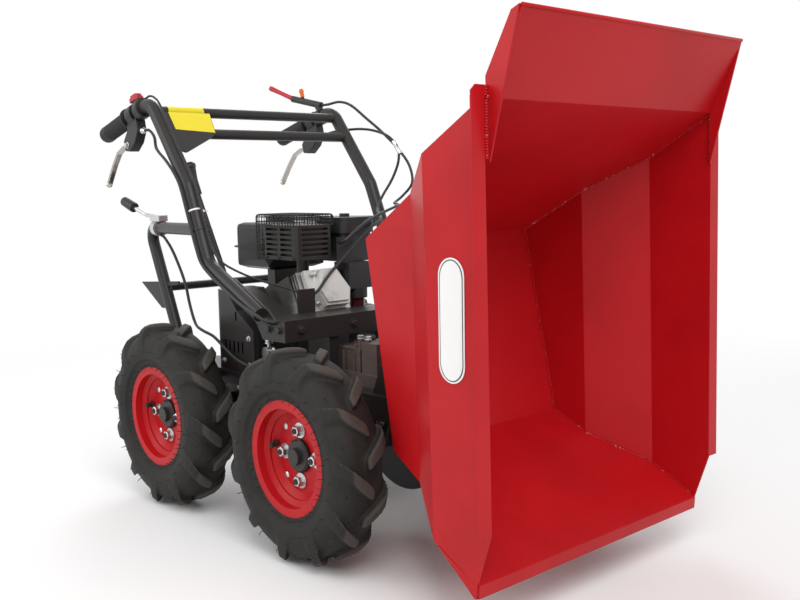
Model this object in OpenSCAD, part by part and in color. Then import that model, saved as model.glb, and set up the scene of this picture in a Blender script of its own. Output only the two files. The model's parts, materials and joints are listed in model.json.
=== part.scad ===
// Walk-behind four-wheel site dumper with its front-tipping skip shown tipped.
// Forward is +X, the machine's left is +Y, the ground is z = 0.

/* [Wheels] */
// Distance between the axles
wheelbase = 510; // [490:1:530]
// Distance between the middle planes of the left and right tyres
track = 580; // [572:1:600]
// Tyre diameter over the lugs
tyre_d = 424; // [412:1:436]
// Tyre width over the side walls
tyre_w = 108; // [100:1:112]
// Height of the tread lugs
lug_h = 14; // [10:1:16]
// Lugs on each side of a tyre
lug_count = 11; // [9:1:14]
// Diameter of the rim over its flanges
rim_d = 228; // [222:1:234]
// Width of the rim over its flanges
rim_w = 84; // [78:1:90]
// Pressed sheet thickness of the rim
rim_t = 4; // [3:0.5:5]
// Depth of the rim's disc inside its outer flange
dish = 37; // [30:1:42]
// Diameter of the stub axles
stub_d = 25; // [22:1:28]

/* [Skip] */
// Width of the skip over its floor
floor_w = 448; // [440:1:452]
// Width of the lower trough at its upper crease
trough_w = 480; // [474:1:490]
// Width of the skip above the step
step_w = 632; // [620:1:640]
// Width of the skip at its rim, without the flanges
rim_line_w = 636; // [630:1:650]
// Height of the trough crease above the lowest floor edge
trough_h = 142; // [130:1:150]
// Height of the step crease above the lowest floor edge
step_h = 254; // [240:1:265]
// Height of the rim at the rear wall
rim_rear_h = 391; // [380:1:402]
// Height of the rim where the pouring lip begins
rim_front_h = 383; // [375:1:390]
// Length of the floor along the rim's direction
floor_run = 388; // [380:1:400]
// Rise of the floor towards the front
floor_rise = 66; // [58:1:74]
// Lean of the front and rear walls, run for each unit of height
wall_lean = 0.55; // [0.5:0.01:0.58]
// Height of the pouring lip's edge
lip_h = 350; // [340:1:360]
// Length of the pouring lip's cut-back along the rim
lip_cut = 90; // [70:1:110]
// Length of the spill board above the rear wall
board_len = 145; // [125:1:160]
// Angle of the spill board above the rim's direction
board_rise = 32; // [26:1:38]
// Sheet thickness of the skip
sheet_t = 3; // [2.5:0.5:4]
// Width of the rim's outward flange
flange_w = 25; // [18:1:30]
// Turn of the tipped skip from its rim-level position
tipped_turn = 88.5; // [84:0.5:90]

/* [Tipping hinge] */
// Hinge axis ahead of the middle of the wheelbase
hinge_x = 338; // [330:1:345]
// Hinge axis above the ground
hinge_z = 384; // [378:1:392]
// Hinge axis ahead of the floor's rear edge
hinge_run = 248; // [240:1:256]
// Hinge axis below the lowest floor edge
hinge_drop = 47; // [42:1:52]
// Hinge pin diameter
hinge_pin_d = 20; // [16:1:24]

/* [Chassis] */
// Distance between the middle planes of the two rails
rail_gap = 240; // [230:1:250]
// Width of a rail
rail_w = 40; // [36:1:44]
// Height of a rail
rail_h = 50; // [44:1:56]
// Top of the rails above the ground
rail_top = 312; // [306:1:316]
// Thickness of the engine tray
tray_t = 8; // [6:1:10]
// Top of the front deck above the ground
deck_top = 460; // [452:1:464]
// Width of the front deck
deck_w = 500; // [490:1:504]
// Depth of the deck's front beam
deck_beam_h = 45; // [38:1:52]

/* [Handles] */
// Handle tube diameter
handle_d = 32; // [28:1:34]
// Diameter of the cross bars
bar_d = 24; // [20:1:26]
// Length of a hand grip
grip_len = 125; // [110:1:130]
// Diameter of a hand grip
grip_d = 38; // [37:1:42]
// Rear stay tube diameter
stay_d = 28; // [24:1:30]

/* [Engine] */
// Crankshaft axis ahead of the middle of the wheelbase
crank_x = -130; // [-136:1:-124]
// Crankshaft axis above the engine's feet
crank_h = 106; // [102:1:110]
// Slope of the cylinder above level
cylinder_slope = 25; // [22:1:28]

/* [Hidden] */
$fn = 64;
gap = 0.2;
bulge = 0.15;

// Colours
red = "firebrick";
black = "#202224";
rubber = "#2b2b2b";
zinc = "silver";
cast = "#6b625a";

// Wheel places
axle_z = tyre_d / 2;
stub_r = stub_d / 2;
running = 0.06;
rim_r = rim_d / 2;
bead_r = rim_r - 13;
well_r = rim_r - 24;
carcass_r = tyre_d / 2 - lug_h;
disc_y = rim_w / 2 - dish;
cap_r = 33;
hub_flange_r = 62;
hub_inner_y = -50;
vent_circle_r = 70;
vent_r = 5.5;

// Skip places, in its own frame: +X to the pouring lip, +Z out of its mouth
rear_u = -hinge_run;
front_u = rear_u + floor_run;
rim_rear_u = rear_u - wall_lean * rim_rear_h;
lip_u = front_u + wall_lean * (lip_h - floor_rise);
rim_front_u = lip_u - lip_cut;
board_u = rim_rear_u - board_len * cos(board_rise);
board_h = rim_rear_h + board_len * sin(board_rise) - 10;
skip_low = hinge_drop;
board_w = rim_line_w - 24;
gusset_run = 98;
gusset_back = 16;
gusset_foot = 30;
hem = 20;

// Front-most and rear-most points of the whole machine
function tipped(u, w) = [
    hinge_x + u * cos(tipped_turn) + (w + skip_low) * sin(tipped_turn),
    hinge_z - u * sin(tipped_turn) + (w + skip_low) * cos(tipped_turn)
];

// Handle tube, side view, from the deck to the grip's end
handle_y = (deck_w + handle_d) / 2;
handle_r = handle_d / 2;
handle_bend = 48;
foot = [88, deck_top + 10];
knee = [-105, 563];
waist = [-178, 735];
crown = [-330, 930];
grip_end = [-565, 866];
lower_bar = [-273, 857];
upper_bar = [-314, 909];
grip_dir = (grip_end - crown) / norm(grip_end - crown);
grip_start = grip_end - grip_dir * grip_len;

// Hand lever, side view, from the middle of its clamp
perch = [[-18, -12], [22, -6], [30, -40], [14, -66], [-12, -86], [-34, -84], [-40, -62],
         [-20, -38]];
blade = [[-24, -68], [-60, -72], [-92, -86], [-118, -114], [-140, -142], [-155, -162]];
blade_t = 7;
blade_w = 12;
adjuster = [26, 42];
adjuster_z = -40;

// Rear stay route
stay_foot = [-330, 205, rail_top];
stay_top = [-480, 205, 636];
stay_end = [-138, handle_y, 640];
stay_r = stay_d / 2;
stay_bend = 30;
cross_x = -420;
cross_z = 488;
stay_plate = [[-531, 496], [-347, 508], [-347, 503], [-412, 490], [-389, 437], [-432, 437]];

// Chassis places
rail_low = rail_top - rail_h;
rail_rear = -wheelbase / 2 - 100;
rail_front = hinge_x + 22;
beam_half = track / 2 - 70;
housing_tube_r = 25;
deck_rear = 70;
deck_front = 150;
deck_t = 5;
leg_w = 24;
wing_end = [-75, deck_top + 52];
wing_w = 80;
ear_len = 140;
stop_low = [deck_rear + 2, -160, deck_top - 1];
stop_high = [deck_rear + 10, -118, deck_top + 52];

// Belt guard and gear lever places
guard_top = 500;
guard_rear = -190;
guard_near = -206;
guard_inner = -102;
guard_round = 28;
lever_base = [-162, -180, guard_top];
lever_top = [-240, -231, 788];

// Gearbox places
case_low = 262;
case_seam = 199;
case_half = 92;

// Clutch linkage places
link_x = -12;
link_y = -180;
pulley_z = 368;
washer_z = 441;

// Engine places
engine_z = rail_top + tray_t;
crank_z = engine_z + crank_h;
case_w = 150;
cylinder_y = -42;
fin_half = 56;
tank = [-243, 24, 587];
tank_low = 54;
tank_high = 58;
muffler_low = [-150, -104, 566];
muffler_high = [0, 4, 668];
cleaner = [-48, 72, 556];
carb_low = [-18, cylinder_y + fin_half + gap, 496];
carb_high = [36, 84, cleaner[2]];
governor_x = 13;

// Cable routes
cable_d = 7;
wire_d = 5;
cable_sides = 8;
cable_steps = 4;
tube_side = handle_y + handle_r + 5;
throttle_route = [
    [-375.6, handle_y, 948], [-350, handle_y + 4, 949], [-302, handle_y + 4, 952],
    [-259, handle_y + 8, 940], [-218, handle_y + 24, 905], [-170, handle_y + 38, 866],
    [-128, handle_y + 54, 822], [-96, handle_y + 62, 780], [-84, handle_y + 60, 735],
    [-100, handle_y + 40, 702], [-88, handle_y + 4, 688], [-50, 235, 685], [0, 200, 682],
    [18, 140, 668], [25, 80, 648], [32, 34, 625], [30, 10, 608], [16.4, 5, 602]
];
right_route = [
    [-369.2, -handle_y, 868], [-345, -handle_y, 867], [-312, -handle_y - 6, 850],
    [-282, -handle_y - 18, 822], [-238, -tube_side, 795], [-205, -tube_side, 768],
    [-178, -tube_side, 735], [-150, -tube_side, 670], [-122, -tube_side, 604],
    [-101, -tube_side, 568], [-60, -tube_side, 541], [0, -tube_side, 512],
    [39, -tube_side, 494], [73, -tube_side, 481], [102, -tube_side + 4, 470],
    [116, -tube_side + 18, 458], [118, -deck_w / 2 - 0.3, 452]
];
left_route = [
    [-369.2, handle_y, 868], [-348, handle_y + 3, 872], [-330, handle_y + 12, 876],
    [-290, handle_y + 24, 879], [-237, handle_y + 21, 878], [-181, handle_y + 18, 871],
    [-128, handle_y + 18, 855], [-92, handle_y + 18, 826], [-86, handle_y + 16, 790],
    [-98, handle_y + 4, 745], [-106, handle_y - 22, 704], [-82, 205, 674], [-38, 172, 661],
    [8, 136, 650], [25, 80, 627], [27, 37, 593], [36, -11, 562], [58, -68, 529],
    [72, -100, 508], [76, -117.7, 500]
];
stop_route = [
    [-369.4, -handle_y + 4, 939], [-345, -handle_y + 4, 946], [-318, -handle_y + 4, 939],
    [-293, -handle_y + 4, 918], [-229, -handle_y + 4, 835], [-187, -handle_y + 4, 781],
    [-160, -handle_y + 4, 746], [-131, -handle_y + 4, 679], [-103, -handle_y + 4, 613],
    [-89, -handle_y + 5, 590], [-68, -handle_y + 16, 566], [-42, -216, 542],
    [-12, -180, 524], [22, -155, 513], [50, -141, 504], [71.7, -140, 503]
];
stay_route = [
    [-395.5, -220, 618.6], [-376, -222, 613], [-352, -217, 585], [-330, -210, 540],
    [-312, -207, 500], [-298, -206, 454], [-272, -208, 412], [-226, -218, 402],
    [-172, -222, 394], [-133, -222, 376], [-93, -222, 357], [-52, -221, 345],
    [-24, -212, 339], [-13, -203, 337], [-12, -192.3, 337]
];

rear_x = grip_end[0] - 6 - abs(grip_dir[1]) * grip_d / 2;
front_x = tipped(board_u, board_h)[0] + sheet_t;
centre_x = (front_x + rear_x) / 2;
place = [-centre_x, 0, 0];

// Unit vector
function unit(v) = v / norm(v);

// Point moved off a polyline corner by t to its left, mitred
function left2(v) = [-v[1], v[0]];
function shifted(p, i, t) =
    let (n = len(p),
         a = i > 0 ? unit(p[i] - p[i - 1]) : unit(p[1] - p[0]),
         b = i < n - 1 ? unit(p[i + 1] - p[i]) : unit(p[n - 1] - p[n - 2]),
         m = unit(left2(a) + left2(b)))
    p[i] + m * t / (m * left2(a));
function strip(p, t) = concat(p, [for (i = [len(p) - 1 : -1 : 0]) shifted(p, i, t)]);

// Round bar along a route, bent at the given radius
module pipe(route, r, bend) {
    n = len(route);
    function turn(i) = acos(max(-1, min(1,
        unit(route[i] - route[i - 1]) * unit(route[i + 1] - route[i]))));
    function trim(i) = (i <= 0 || i >= n - 1) ? 0 : bend * tan(turn(i) / 2);
    for (i = [0 : n - 2]) {
        d = unit(route[i + 1] - route[i]);
        from = route[i] + d * (trim(i) - (i > 0 ? 1 : 0));
        to = route[i + 1] - d * (trim(i + 1) - (i < n - 2 ? 1 : 0));
        rod(from, to, r);
    }
    for (i = [1 : 1 : n - 2]) {
        a = unit(route[i] - route[i - 1]);
        b = unit(route[i + 1] - route[i]);
        inward = unit(b - a * (a * b));
        c = route[i] - a * trim(i) + inward * bend;
        x = -inward;
        z = cross(x, a);
        multmatrix([
            [x[0], a[0], z[0], c[0]],
            [x[1], a[1], z[1], c[1]],
            [x[2], a[2], z[2], c[2]],
            [0, 0, 0, 1]
        ])
            rotate_extrude(angle = turn(i)) translate([bend, 0]) circle(r + bulge);
    }
}

// Straight round bar between two points
module rod(from, to, r) {
    upright(from, to) cylinder(r = r, h = norm(to - from));
}

// Shape drawn upright, turned to stand on one point and point at another
module upright(from, to) {
    d = unit(to - from);
    translate(from) rotate([0, acos(d[2]), atan2(d[1], d[0])]) children();
}

// Smooth curve through the points of a route
function on_curve(p, i, t) =
    let (a = p[max(i - 1, 0)], b = p[i], c = p[i + 1], d = p[min(i + 2, len(p) - 1)])
    b + (c - a) * t / 2 + (2 * a - 5 * b + 4 * c - d) * t * t / 2
        + (3 * b - a - 3 * c + d) * t * t * t / 2;
function smooth_route(p, steps) = concat(
    [for (i = [0 : len(p) - 2], k = [0 : steps - 1]) on_curve(p, i, k / steps)],
    [p[len(p) - 1]]);

// Direction of a path at a point, and a cross direction carried along it without twist
function heading(p, i) = unit(p[min(i + 1, len(p) - 1)] - p[max(i - 1, 0)]);
function carried(p, i, n) = i == len(p) ? [] :
    let (t = heading(p, i), m = unit(n - t * (n * t)))
    concat([m], carried(p, i + 1, m));

// Cable swept along a route
module cable(route, d) {
    path = smooth_route(route, cable_steps);
    aside = carried(path, 0, cross(heading(path, 0), [0.2, 0.4, 0.9]));
    n = len(path);
    k = cable_sides;
    points = [for (i = [0 : n - 1], j = [0 : k - 1])
        let (t = heading(path, i), a = j * 360 / k)
        path[i] + (aside[i] * cos(a) + cross(t, aside[i]) * sin(a)) * d / 2];
    walls = [for (i = [0 : n - 2], j = [0 : k - 1])
        let (q = (j + 1) % k)
        [i * k + j, i * k + k + j, i * k + k + q, i * k + q]];
    ends = [[for (j = [0 : k - 1]) j], [for (j = [k - 1 : -1 : 0]) (n - 1) * k + j]];
    polyhedron(points, concat(walls, ends));
}

// Cylinder along Y between two places
module across(r, y0, y1) {
    translate([0, y1, 0]) rotate([90, 0, 0]) cylinder(r = r, h = y1 - y0);
}

// Box between two corners
module block(low, high) {
    translate(low) cube(high - low);
}

// Rectangle with round corners, about its middle
module round_rect(w, h, r) {
    square([w - 2 * r, h], center = true);
    square([w, h - 2 * r], center = true);
    for (x = [-1, 1], y = [-1, 1])
        translate([x * (w / 2 - r), y * (h / 2 - r)]) circle(r);
}

// Box with round upright edges, about its middle in X and Y
module round_box(size, r) {
    linear_extrude(size[2]) round_rect(size[0], size[1], r);
}

// Shape drawn in the side view, X and Z, and drawn out along Y
module side_view(y0, y1) {
    translate([0, y1, 0]) rotate([90, 0, 0]) linear_extrude(y1 - y0) children();
}

// One tread lug: a bar that runs from the tread's middle over the shoulder
module lug(turn, side) {
    deep = carcass_r - 6;
    half = 11;
    stations = [
        [-5, -1, carcass_r + lug_h - 1, half],
        [tyre_w * 0.27, 7, carcass_r + lug_h, half + 2],
        [tyre_w * 0.43, 12, carcass_r + lug_h - 5, half],
        [tyre_w * 0.49, 15, carcass_r - 22, half + 6]
    ];
    function low(i) = [deep, deep - 4, carcass_r - 26, carcass_r - 36][i];
    function spot(i, j) =
        let (s = stations[i],
             r = j < 2 ? low(i) : s[2],
             inset = j < 2 && i == 3 ? 6 : 0,
             w = (j == 0 || j == 3) ? -s[3] : s[3],
             a = turn + s[1] + w / carcass_r * 180 / PI * (j < 2 ? 1.25 : 1))
        [r * cos(a), side * (s[0] - inset), r * sin(a)];
    points = [for (i = [0 : 3], j = [0 : 3]) spot(i, j)];
    walls = [for (i = [0 : 2], j = [0 : 3])
        let (k = (j + 1) % 4) [i * 4 + j, i * 4 + k, i * 4 + 4 + k, i * 4 + 4 + j]];
    flip = side < 0;
    function fan(q) = [[q[0], q[1], q[2]], [q[0], q[2], q[3]]];
    quads = concat(walls, [[3, 2, 1, 0], [12, 13, 14, 15]]);
    faces = [for (q = quads, t = fan(q)) flip ? t : [t[2], t[1], t[0]]];
    polyhedron(points, faces);
}

// Ag-tread tyre about the Y axis
module tyre_shape() {
    half = tyre_w / 2;
    rim_half = rim_w / 2;
    color(rubber) {
        rotate([-90, 0, 0]) rotate_extrude($fn = 48)
            polygon([
                [bead_r + gap, -rim_half + 5], [bead_r + 3, -rim_half + 1],
                [rim_r + gap + 3, -rim_half + 1], [rim_r + 20, -half + 2],
                [rim_r + 42, -half], [carcass_r - 26, -half + 3],
                [carcass_r - 8, -half * 0.82], [carcass_r - 1, -half * 0.5],
                [carcass_r, 0],
                [carcass_r - 1, half * 0.5], [carcass_r - 8, half * 0.82],
                [carcass_r - 26, half - 3], [rim_r + 42, half],
                [rim_r + 20, half - 2], [rim_r + gap + 3, rim_half - 1],
                [bead_r + 3, rim_half - 1], [bead_r + gap, rim_half - 5]
            ]);
        for (i = [0 : lug_count - 1], side = [-1, 1])
            lug(i * 360 / lug_count + (side > 0 ? 180 / lug_count : 0), side);
    }
}

// Dished pressed rim about the Y axis, its outside towards +Y
module rim_shape() {
    half = rim_w / 2;
    color(red) rotate([-90, 0, 0]) difference() {
        rotate_extrude() {
            polygon([
                [bead_r - rim_t, -half + 9], [bead_r - rim_t, -half],
                [rim_r, -half], [rim_r, -half + rim_t - 3.2],
                [bead_r + 2.6, -half + rim_t - 3.2], [bead_r, -half + 4.6],
                [bead_r, -half + 16], [well_r, -half + 22],
                [well_r, half - 22], [bead_r, half - 16],
                [bead_r, half - 4.6], [bead_r + 2.6, half - rim_t + 3.2],
                [rim_r, half - rim_t + 3.2], [rim_r, half],
                [bead_r - rim_t, half], [bead_r - rim_t, half - 17],
                [well_r - rim_t, half - 23], [well_r - rim_t, disc_y + 10],
                [well_r - 16, disc_y], [cap_r + gap, disc_y],
                [cap_r + gap, disc_y - rim_t], [well_r - 14, disc_y - rim_t],
                [well_r - rim_t, disc_y - 12], [well_r - rim_t, -half + 23]
            ]);
        }
        for (i = [0 : 3]) {
            rotate([0, 0, i * 90 + 45])
                translate([vent_circle_r, 0, disc_y - 12]) cylinder(r = vent_r, h = 24);
        }
    }
}

// Hub with its inner barrel, bolting flange and outer cap
module hub_shape() {
    color(black) rotate([-90, 0, 0]) rotate_extrude()
        polygon([
            [stub_r + running, hub_inner_y], [30, hub_inner_y],
            [30, disc_y - rim_t - 10], [hub_flange_r, disc_y - rim_t - 10],
            [hub_flange_r, disc_y - rim_t], [cap_r, disc_y - rim_t],
            [cap_r, disc_y + 7], [cap_r - 4, disc_y + 11], [17, disc_y + 11],
            [16, disc_y + 20], [0, disc_y + 20], [0, disc_y + 16],
            [stub_r + running, disc_y + 16]
        ]);
}

module at_wheel(front, left) {
    translate([(front ? 1 : -1) * wheelbase / 2, (left ? 1 : -1) * track / 2, axle_z])
        mirror([0, left ? 0 : 1, 0]) children();
}

module tyre_front_right() { at_wheel(true, false) tyre_shape(); }
module tyre_front_left() { at_wheel(true, true) tyre_shape(); }
module tyre_rear_right() { at_wheel(false, false) tyre_shape(); }
module tyre_rear_left() { at_wheel(false, true) tyre_shape(); }
module rim_front_right() { at_wheel(true, false) rim_shape(); }
module rim_front_left() { at_wheel(true, true) rim_shape(); }
module rim_rear_right() { at_wheel(false, false) rim_shape(); }
module rim_rear_left() { at_wheel(false, true) rim_shape(); }
module hub_front_right() { at_wheel(true, false) hub_shape(); }
module hub_front_left() { at_wheel(true, true) hub_shape(); }
module hub_rear_right() { at_wheel(false, false) hub_shape(); }
module hub_rear_left() { at_wheel(false, true) hub_shape(); }

// Axle with its housing and two stub ends
module axle_shape(housing_r, housing_half) {
    stub_end = track / 2 + disc_y + 15;
    tube_end = track / 2 + hub_inner_y - 4;
    across(stub_r, -stub_end, stub_end);
    across(housing_tube_r, -tube_end, tube_end);
    across(housing_r, -housing_half, housing_half);
}

module front_axle() {
    color(black) translate([wheelbase / 2, 0, axle_z]) axle_shape(48, 30);
}

module rear_axle() {
    color(black) translate([-wheelbase / 2, 0, axle_z]) axle_shape(48, 55);
}

// One rail with its axle plates, deck leg and hinge upright
module rail(side) {
    plate_t = 10;
    y = side * rail_gap / 2;
    color(black) difference() {
        union() {
            block([rail_rear, y - rail_w / 2, rail_low], [rail_front, y + rail_w / 2, rail_top]);
            for (x = [-1, 1] * wheelbase / 2)
                side_view(y - plate_t / 2, y + plate_t / 2)
                    polygon([[x - 70, rail_low + 1], [x + 70, rail_low + 1],
                             [x + 38, axle_z - 20], [x + 20, axle_z - 36],
                             [x - 20, axle_z - 36], [x - 38, axle_z - 20]]);
            side_view(y - plate_t, y + plate_t)
                polygon([[hinge_x - 60, rail_top - 1], [hinge_x + 22, rail_top - 1],
                         [hinge_x + 22, hinge_z + 12], [hinge_x + 12, hinge_z + 22],
                         [hinge_x - 12, hinge_z + 22], [hinge_x - 22, hinge_z + 12]]);
            block([deck_rear, y - leg_w / 2, rail_top - 1],
                  [deck_front - 6, y + leg_w / 2, deck_top - deck_t]);
        }
        for (x = [-1, 1] * wheelbase / 2)
            translate([x, 0, axle_z]) across(housing_tube_r + gap, -track, track);
        translate([hinge_x, 0, hinge_z])
            across(hinge_pin_d / 2 + gap, -track, track);
    }
}

module rail_right() { rail(-1); }
module rail_left() { rail(1); }

// Cross members between the rails, and the rear beam's two ends
module cross_members() {
    inner = rail_gap / 2 - rail_w / 2;
    outer = rail_gap / 2 + rail_w / 2;
    color(black) {
        for (x = [rail_rear, -40, rail_front - 40])
            block([x, -inner, rail_low + 4], [x + 40, inner, rail_top - 4]);
        for (s = [-1, 1])
            block([rail_rear, s > 0 ? outer : -beam_half, rail_low + 4],
                  [rail_rear + 50, s > 0 ? beam_half : -outer, rail_top]);
    }
}

module hinge_pin() {
    pin_half = rail_gap / 2 + 18;
    color(zinc) translate([hinge_x, 0, hinge_z])
        across(hinge_pin_d / 2, -pin_half, pin_half);
}

// Tray that carries the engine
module engine_tray() {
    color(black)
        block([-306, -212, rail_top], [60, 165, rail_top + tray_t]);
}

// Raised deck ahead of the engine: front beam, side plates that run up along the handle
// tubes, sloping wings behind it and the stop for the cables
module front_deck() {
    half = deck_w / 2;
    low = deck_top - deck_beam_h;
    along = unit(knee - foot);
    edge = foot - left2(along) * 8;
    color(black) {
        block([deck_rear, -half, deck_top - deck_t], [deck_front, half, deck_top]);
        block([deck_front - deck_t, -half, low], [deck_front, half, deck_top]);
        for (s = [-1, 1]) {
            side_view(s > 0 ? half - deck_t : -half, s > 0 ? half : deck_t - half)
                polygon([[deck_rear, low], [deck_front, low], [deck_front, deck_top],
                         [deck_rear + 45, deck_top], edge, edge + along * ear_len,
                         edge + along * (ear_len + 14) - [0, 34],
                         [deck_rear - 20, deck_top - 14]]);
            side_view(s > 0 ? half - wing_w : -half, s > 0 ? half : wing_w - half)
                polygon(strip([[deck_rear + 2, deck_top], wing_end], 3));
        }
        block(stop_low, stop_high);
    }
}

// Belt guard on the engine's right: round rear edge, sloping top and cooling slits
function guard_route() = [
    [guard_rear, rail_top + tray_t], [guard_rear, guard_top], [guard_rear + 54, guard_top],
    [-95, guard_top - 43], [-31, guard_top - 83], [-31, rail_top + tray_t]
];

module guard_solid(t) {
    route = guard_route();
    side = [for (i = [0 : len(route) - 1]) shifted(route, i, -t)];
    low = t > 0 ? route[0][1] - 5 : route[0][1];
    front = route[len(route) - 1][0] - t;
    rear = guard_rear + t;
    mid = guard_rear + guard_round;
    near = guard_near + t;
    near_mid = guard_near + guard_round;
    inner = guard_inner + t;
    intersection() {
        side_view(near, inner)
            polygon(concat([[rear, low]], side, [[front, low]]));
        translate([0, 0, low - 1]) linear_extrude(guard_top - low + 2) {
            translate([mid, near_mid]) circle(guard_round - t);
            polygon([[rear, near_mid], [mid, near], [front, near], [front, inner],
                     [rear, inner]]);
        }
    }
}

module belt_guard() {
    color(black) difference() {
        guard_solid(0);
        guard_solid(2);
        for (i = [0 : 4])
            translate([-148 + i * 17, guard_near - 4, 362]) cube([7, 10, 26]);
        translate([-102, guard_near - 4, 434]) cube([6, 10, 20]);
        for (z = [452, 474])
            translate([guard_rear - 4, guard_near + 8, z]) cube([22, 9, 12]);
    }
}

// Idler pulley, spring and rod that tighten the belt
module clutch_linkage() {
    floor_z = rail_top + tray_t;
    low = [link_x, link_y, pulley_z + 3];
    high = [link_x + 6, link_y, washer_z - 3];
    color(zinc) {
        block([link_x - 10, link_y - 12, floor_z], [link_x + 10, link_y + 12, floor_z + 28]);
        rod([link_x, link_y, floor_z + 20], [link_x, link_y, pulley_z - 3], 6);
        translate([link_x, 0, pulley_z]) rotate([90, 0, 0]) translate([0, 0, -link_y])
            rotate_extrude()
                polygon([[0, -10], [14, -10], [14, -6], [10, -4], [10, 4], [14, 6], [14, 10],
                         [0, 10]]);
        rod(low, high, 4);
        rod(low + (high - low) * 0.3, low + (high - low) * 0.75, 7);
        translate([high[0], 0, washer_z]) across(12, link_y - 6, link_y + 5);
        rod([high[0], link_y, washer_z + 3], [high[0], link_y, deck_top + 22.6], 4);
    }
}

// Gearbox cast in two halves that part at an upright seam
module gearbox() {
    seat = rail_gap / 2 - rail_w / 2 - gap;
    color(cast) {
        block([112, -case_half, case_low], [case_seam - 3, case_half, 388]);
        block([case_seam + 3, -case_half, case_low], [250, case_half, 404]);
        block([112, -case_half + 8, case_low], [250, case_half - 8, 380]);
        block([106, -case_half - 5, case_low], [256, case_half + 5, 338]);
        block([130, -seat, rail_low + 6], [190, seat, rail_top - 6]);
        for (i = [0 : 3])
            block([120 + i * 19, -case_half - 4, 330], [125 + i * 19, case_half + 4, 380]);
        translate([176, -58, 380]) {
            cylinder(r = 14, h = 20);
            translate([0, 0, 20]) cylinder(r = 20, h = 12);
        }
        for (x = [case_seam - 12, case_seam + 12], s = [-1, 1])
            translate([x, s * (case_half - 10), 380]) cylinder(r = 7, h = 29);
    }
}

// Final drive case round the front axle
module drive_case() {
    color(black) translate([wheelbase / 2, 0, axle_z]) difference() {
        across(125, -28, 28);
        block([-200, -60, 36], [200, 60, 200]);
        across(48 + gap, -60, 60);
        across(25 + gap, -60, 60);
    }
}

function side_point(p, side) = [p[0], side * handle_y, p[1]];

module handle_tube(side) {
    route = [for (p = [foot, knee, waist, crown, grip_end]) side_point(p, side)];
    pipe(route, handle_r, handle_bend);
}

module handle_tube_right() { color(black) handle_tube(-1); }
module handle_tube_left() { color(black) handle_tube(1); }

module crossbar(spot) {
    color(black) difference() {
        translate([spot[0], 0, spot[1]]) across(bar_d / 2, -handle_y, handle_y);
        for (s = [-1, 1])
            pipe([side_point(waist, s), side_point(crown, s), side_point(grip_end, s)],
                 handle_r + gap, handle_bend);
    }
}

module upper_crossbar() { crossbar(upper_bar); }
module lower_crossbar() { crossbar(lower_bar); }

// Label plate on the right, across the two bars
module control_plate() {
    lean = atan2(crown[0] - waist[0], crown[1] - waist[1]);
    color(black) translate([lower_bar[0], -handle_y + handle_r + 2, lower_bar[1]])
        rotate([0, lean, 0]) translate([bar_d / 2 + gap, 0, 0])
            rotate([90, 0, 90]) linear_extrude(3)
                polygon([[0, 80], [95, 80], [118, 0], [40, -34], [0, -24]]);
}

// Closed rubber grip on the end of a handle tube
module grip(side) {
    end = side_point(grip_end, side);
    start = side_point(grip_start, side);
    d = unit(end - start);
    color(rubber) difference() {
        union() {
            rod(start, end + d * 6, grip_d / 2);
            rod(start - d * 6, start + d, grip_d / 2 + 6);
        }
        rod(start - d * 20, end + d * gap, handle_r + gap);
    }
}

module grip_right() { grip(-1); }
module grip_left() { grip(1); }

// Clamp with its perch, cable adjuster and curved lever below a grip
module lever(side) {
    d = [grip_dir[0], 0, grip_dir[1]];
    clamp = side_point(grip_start, side) - d * 34;
    function near(p) = [clamp[0] + p[0], clamp[2] + p[1]];
    y = clamp[1];
    tip = near(blade[len(blade) - 1]);
    color(black) difference() {
        union() {
            rod(clamp - d * 12, clamp + d * 12, handle_r + 6);
            side_view(y - 12, y + 12) polygon([for (p = perch) near(p)]);
        }
        rod(clamp - d * 40, clamp + d * 40, handle_r + gap);
    }
    color(zinc) {
        side_view(y - blade_w / 2, y + blade_w / 2)
            polygon(strip([for (p = blade) near(p)], blade_t));
        translate([tip[0] + 2, y, tip[1] - 2]) sphere(r = 8);
        rod(clamp + [adjuster[0], 0, adjuster_z], clamp + [adjuster[1], 0, adjuster_z], 5);
    }
}

module lever_right() { lever(-1); }
module lever_left() { lever(1); }

// Stop switch: its housing clamped on the right tube and the rocker on top of it
module at_switch() {
    lean = atan2(grip_dir[1], -grip_dir[0]);
    translate(side_point(crown + grip_dir * 46, -1)) rotate([0, lean, 0]) children();
}

module switch_housing() {
    color(black) at_switch() difference() {
        union() {
            rotate([0, 90, 0]) cylinder(r = handle_r + 7, h = 20, center = true);
            block([-24, -10, handle_r - 2], [6, 10, 26]);
        }
        rotate([0, 90, 0]) cylinder(r = handle_r + gap, h = 120, center = true);
    }
}

module stop_switch() {
    color(red) at_switch() translate([-20, 0, 26]) {
        round_box([34, 24, 9], 6);
        translate([0, 0, 9]) round_box([28, 19, 6], 5);
    }
}

// Throttle clamp on the left tube with its body and lever
module throttle_control() {
    d = [grip_dir[0], 0, grip_dir[1]];
    clamp = side_point(crown, 1) + d * 50;
    front = [-376, handle_y, 948];
    rear = [-480, handle_y - 18, 972];
    tip = [-556, handle_y - 38, 1006];
    color(black) difference() {
        union() {
            rod(clamp - d * 12, clamp + d * 12, handle_r + 5);
            rod(clamp + [0, 0, 12], front + [-14, -2, 0], 9);
            rod(front, rear, 9);
            rod(front + (rear - front) * 0.62, front + (rear - front) * 0.66 + [-4, 0, 28], 4);
        }
        rod(clamp - d * 60, clamp + d * 60, handle_r + gap);
    }
    color(red) rod(rear + unit(front - rear) * 6, tip, 5);
}

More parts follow.
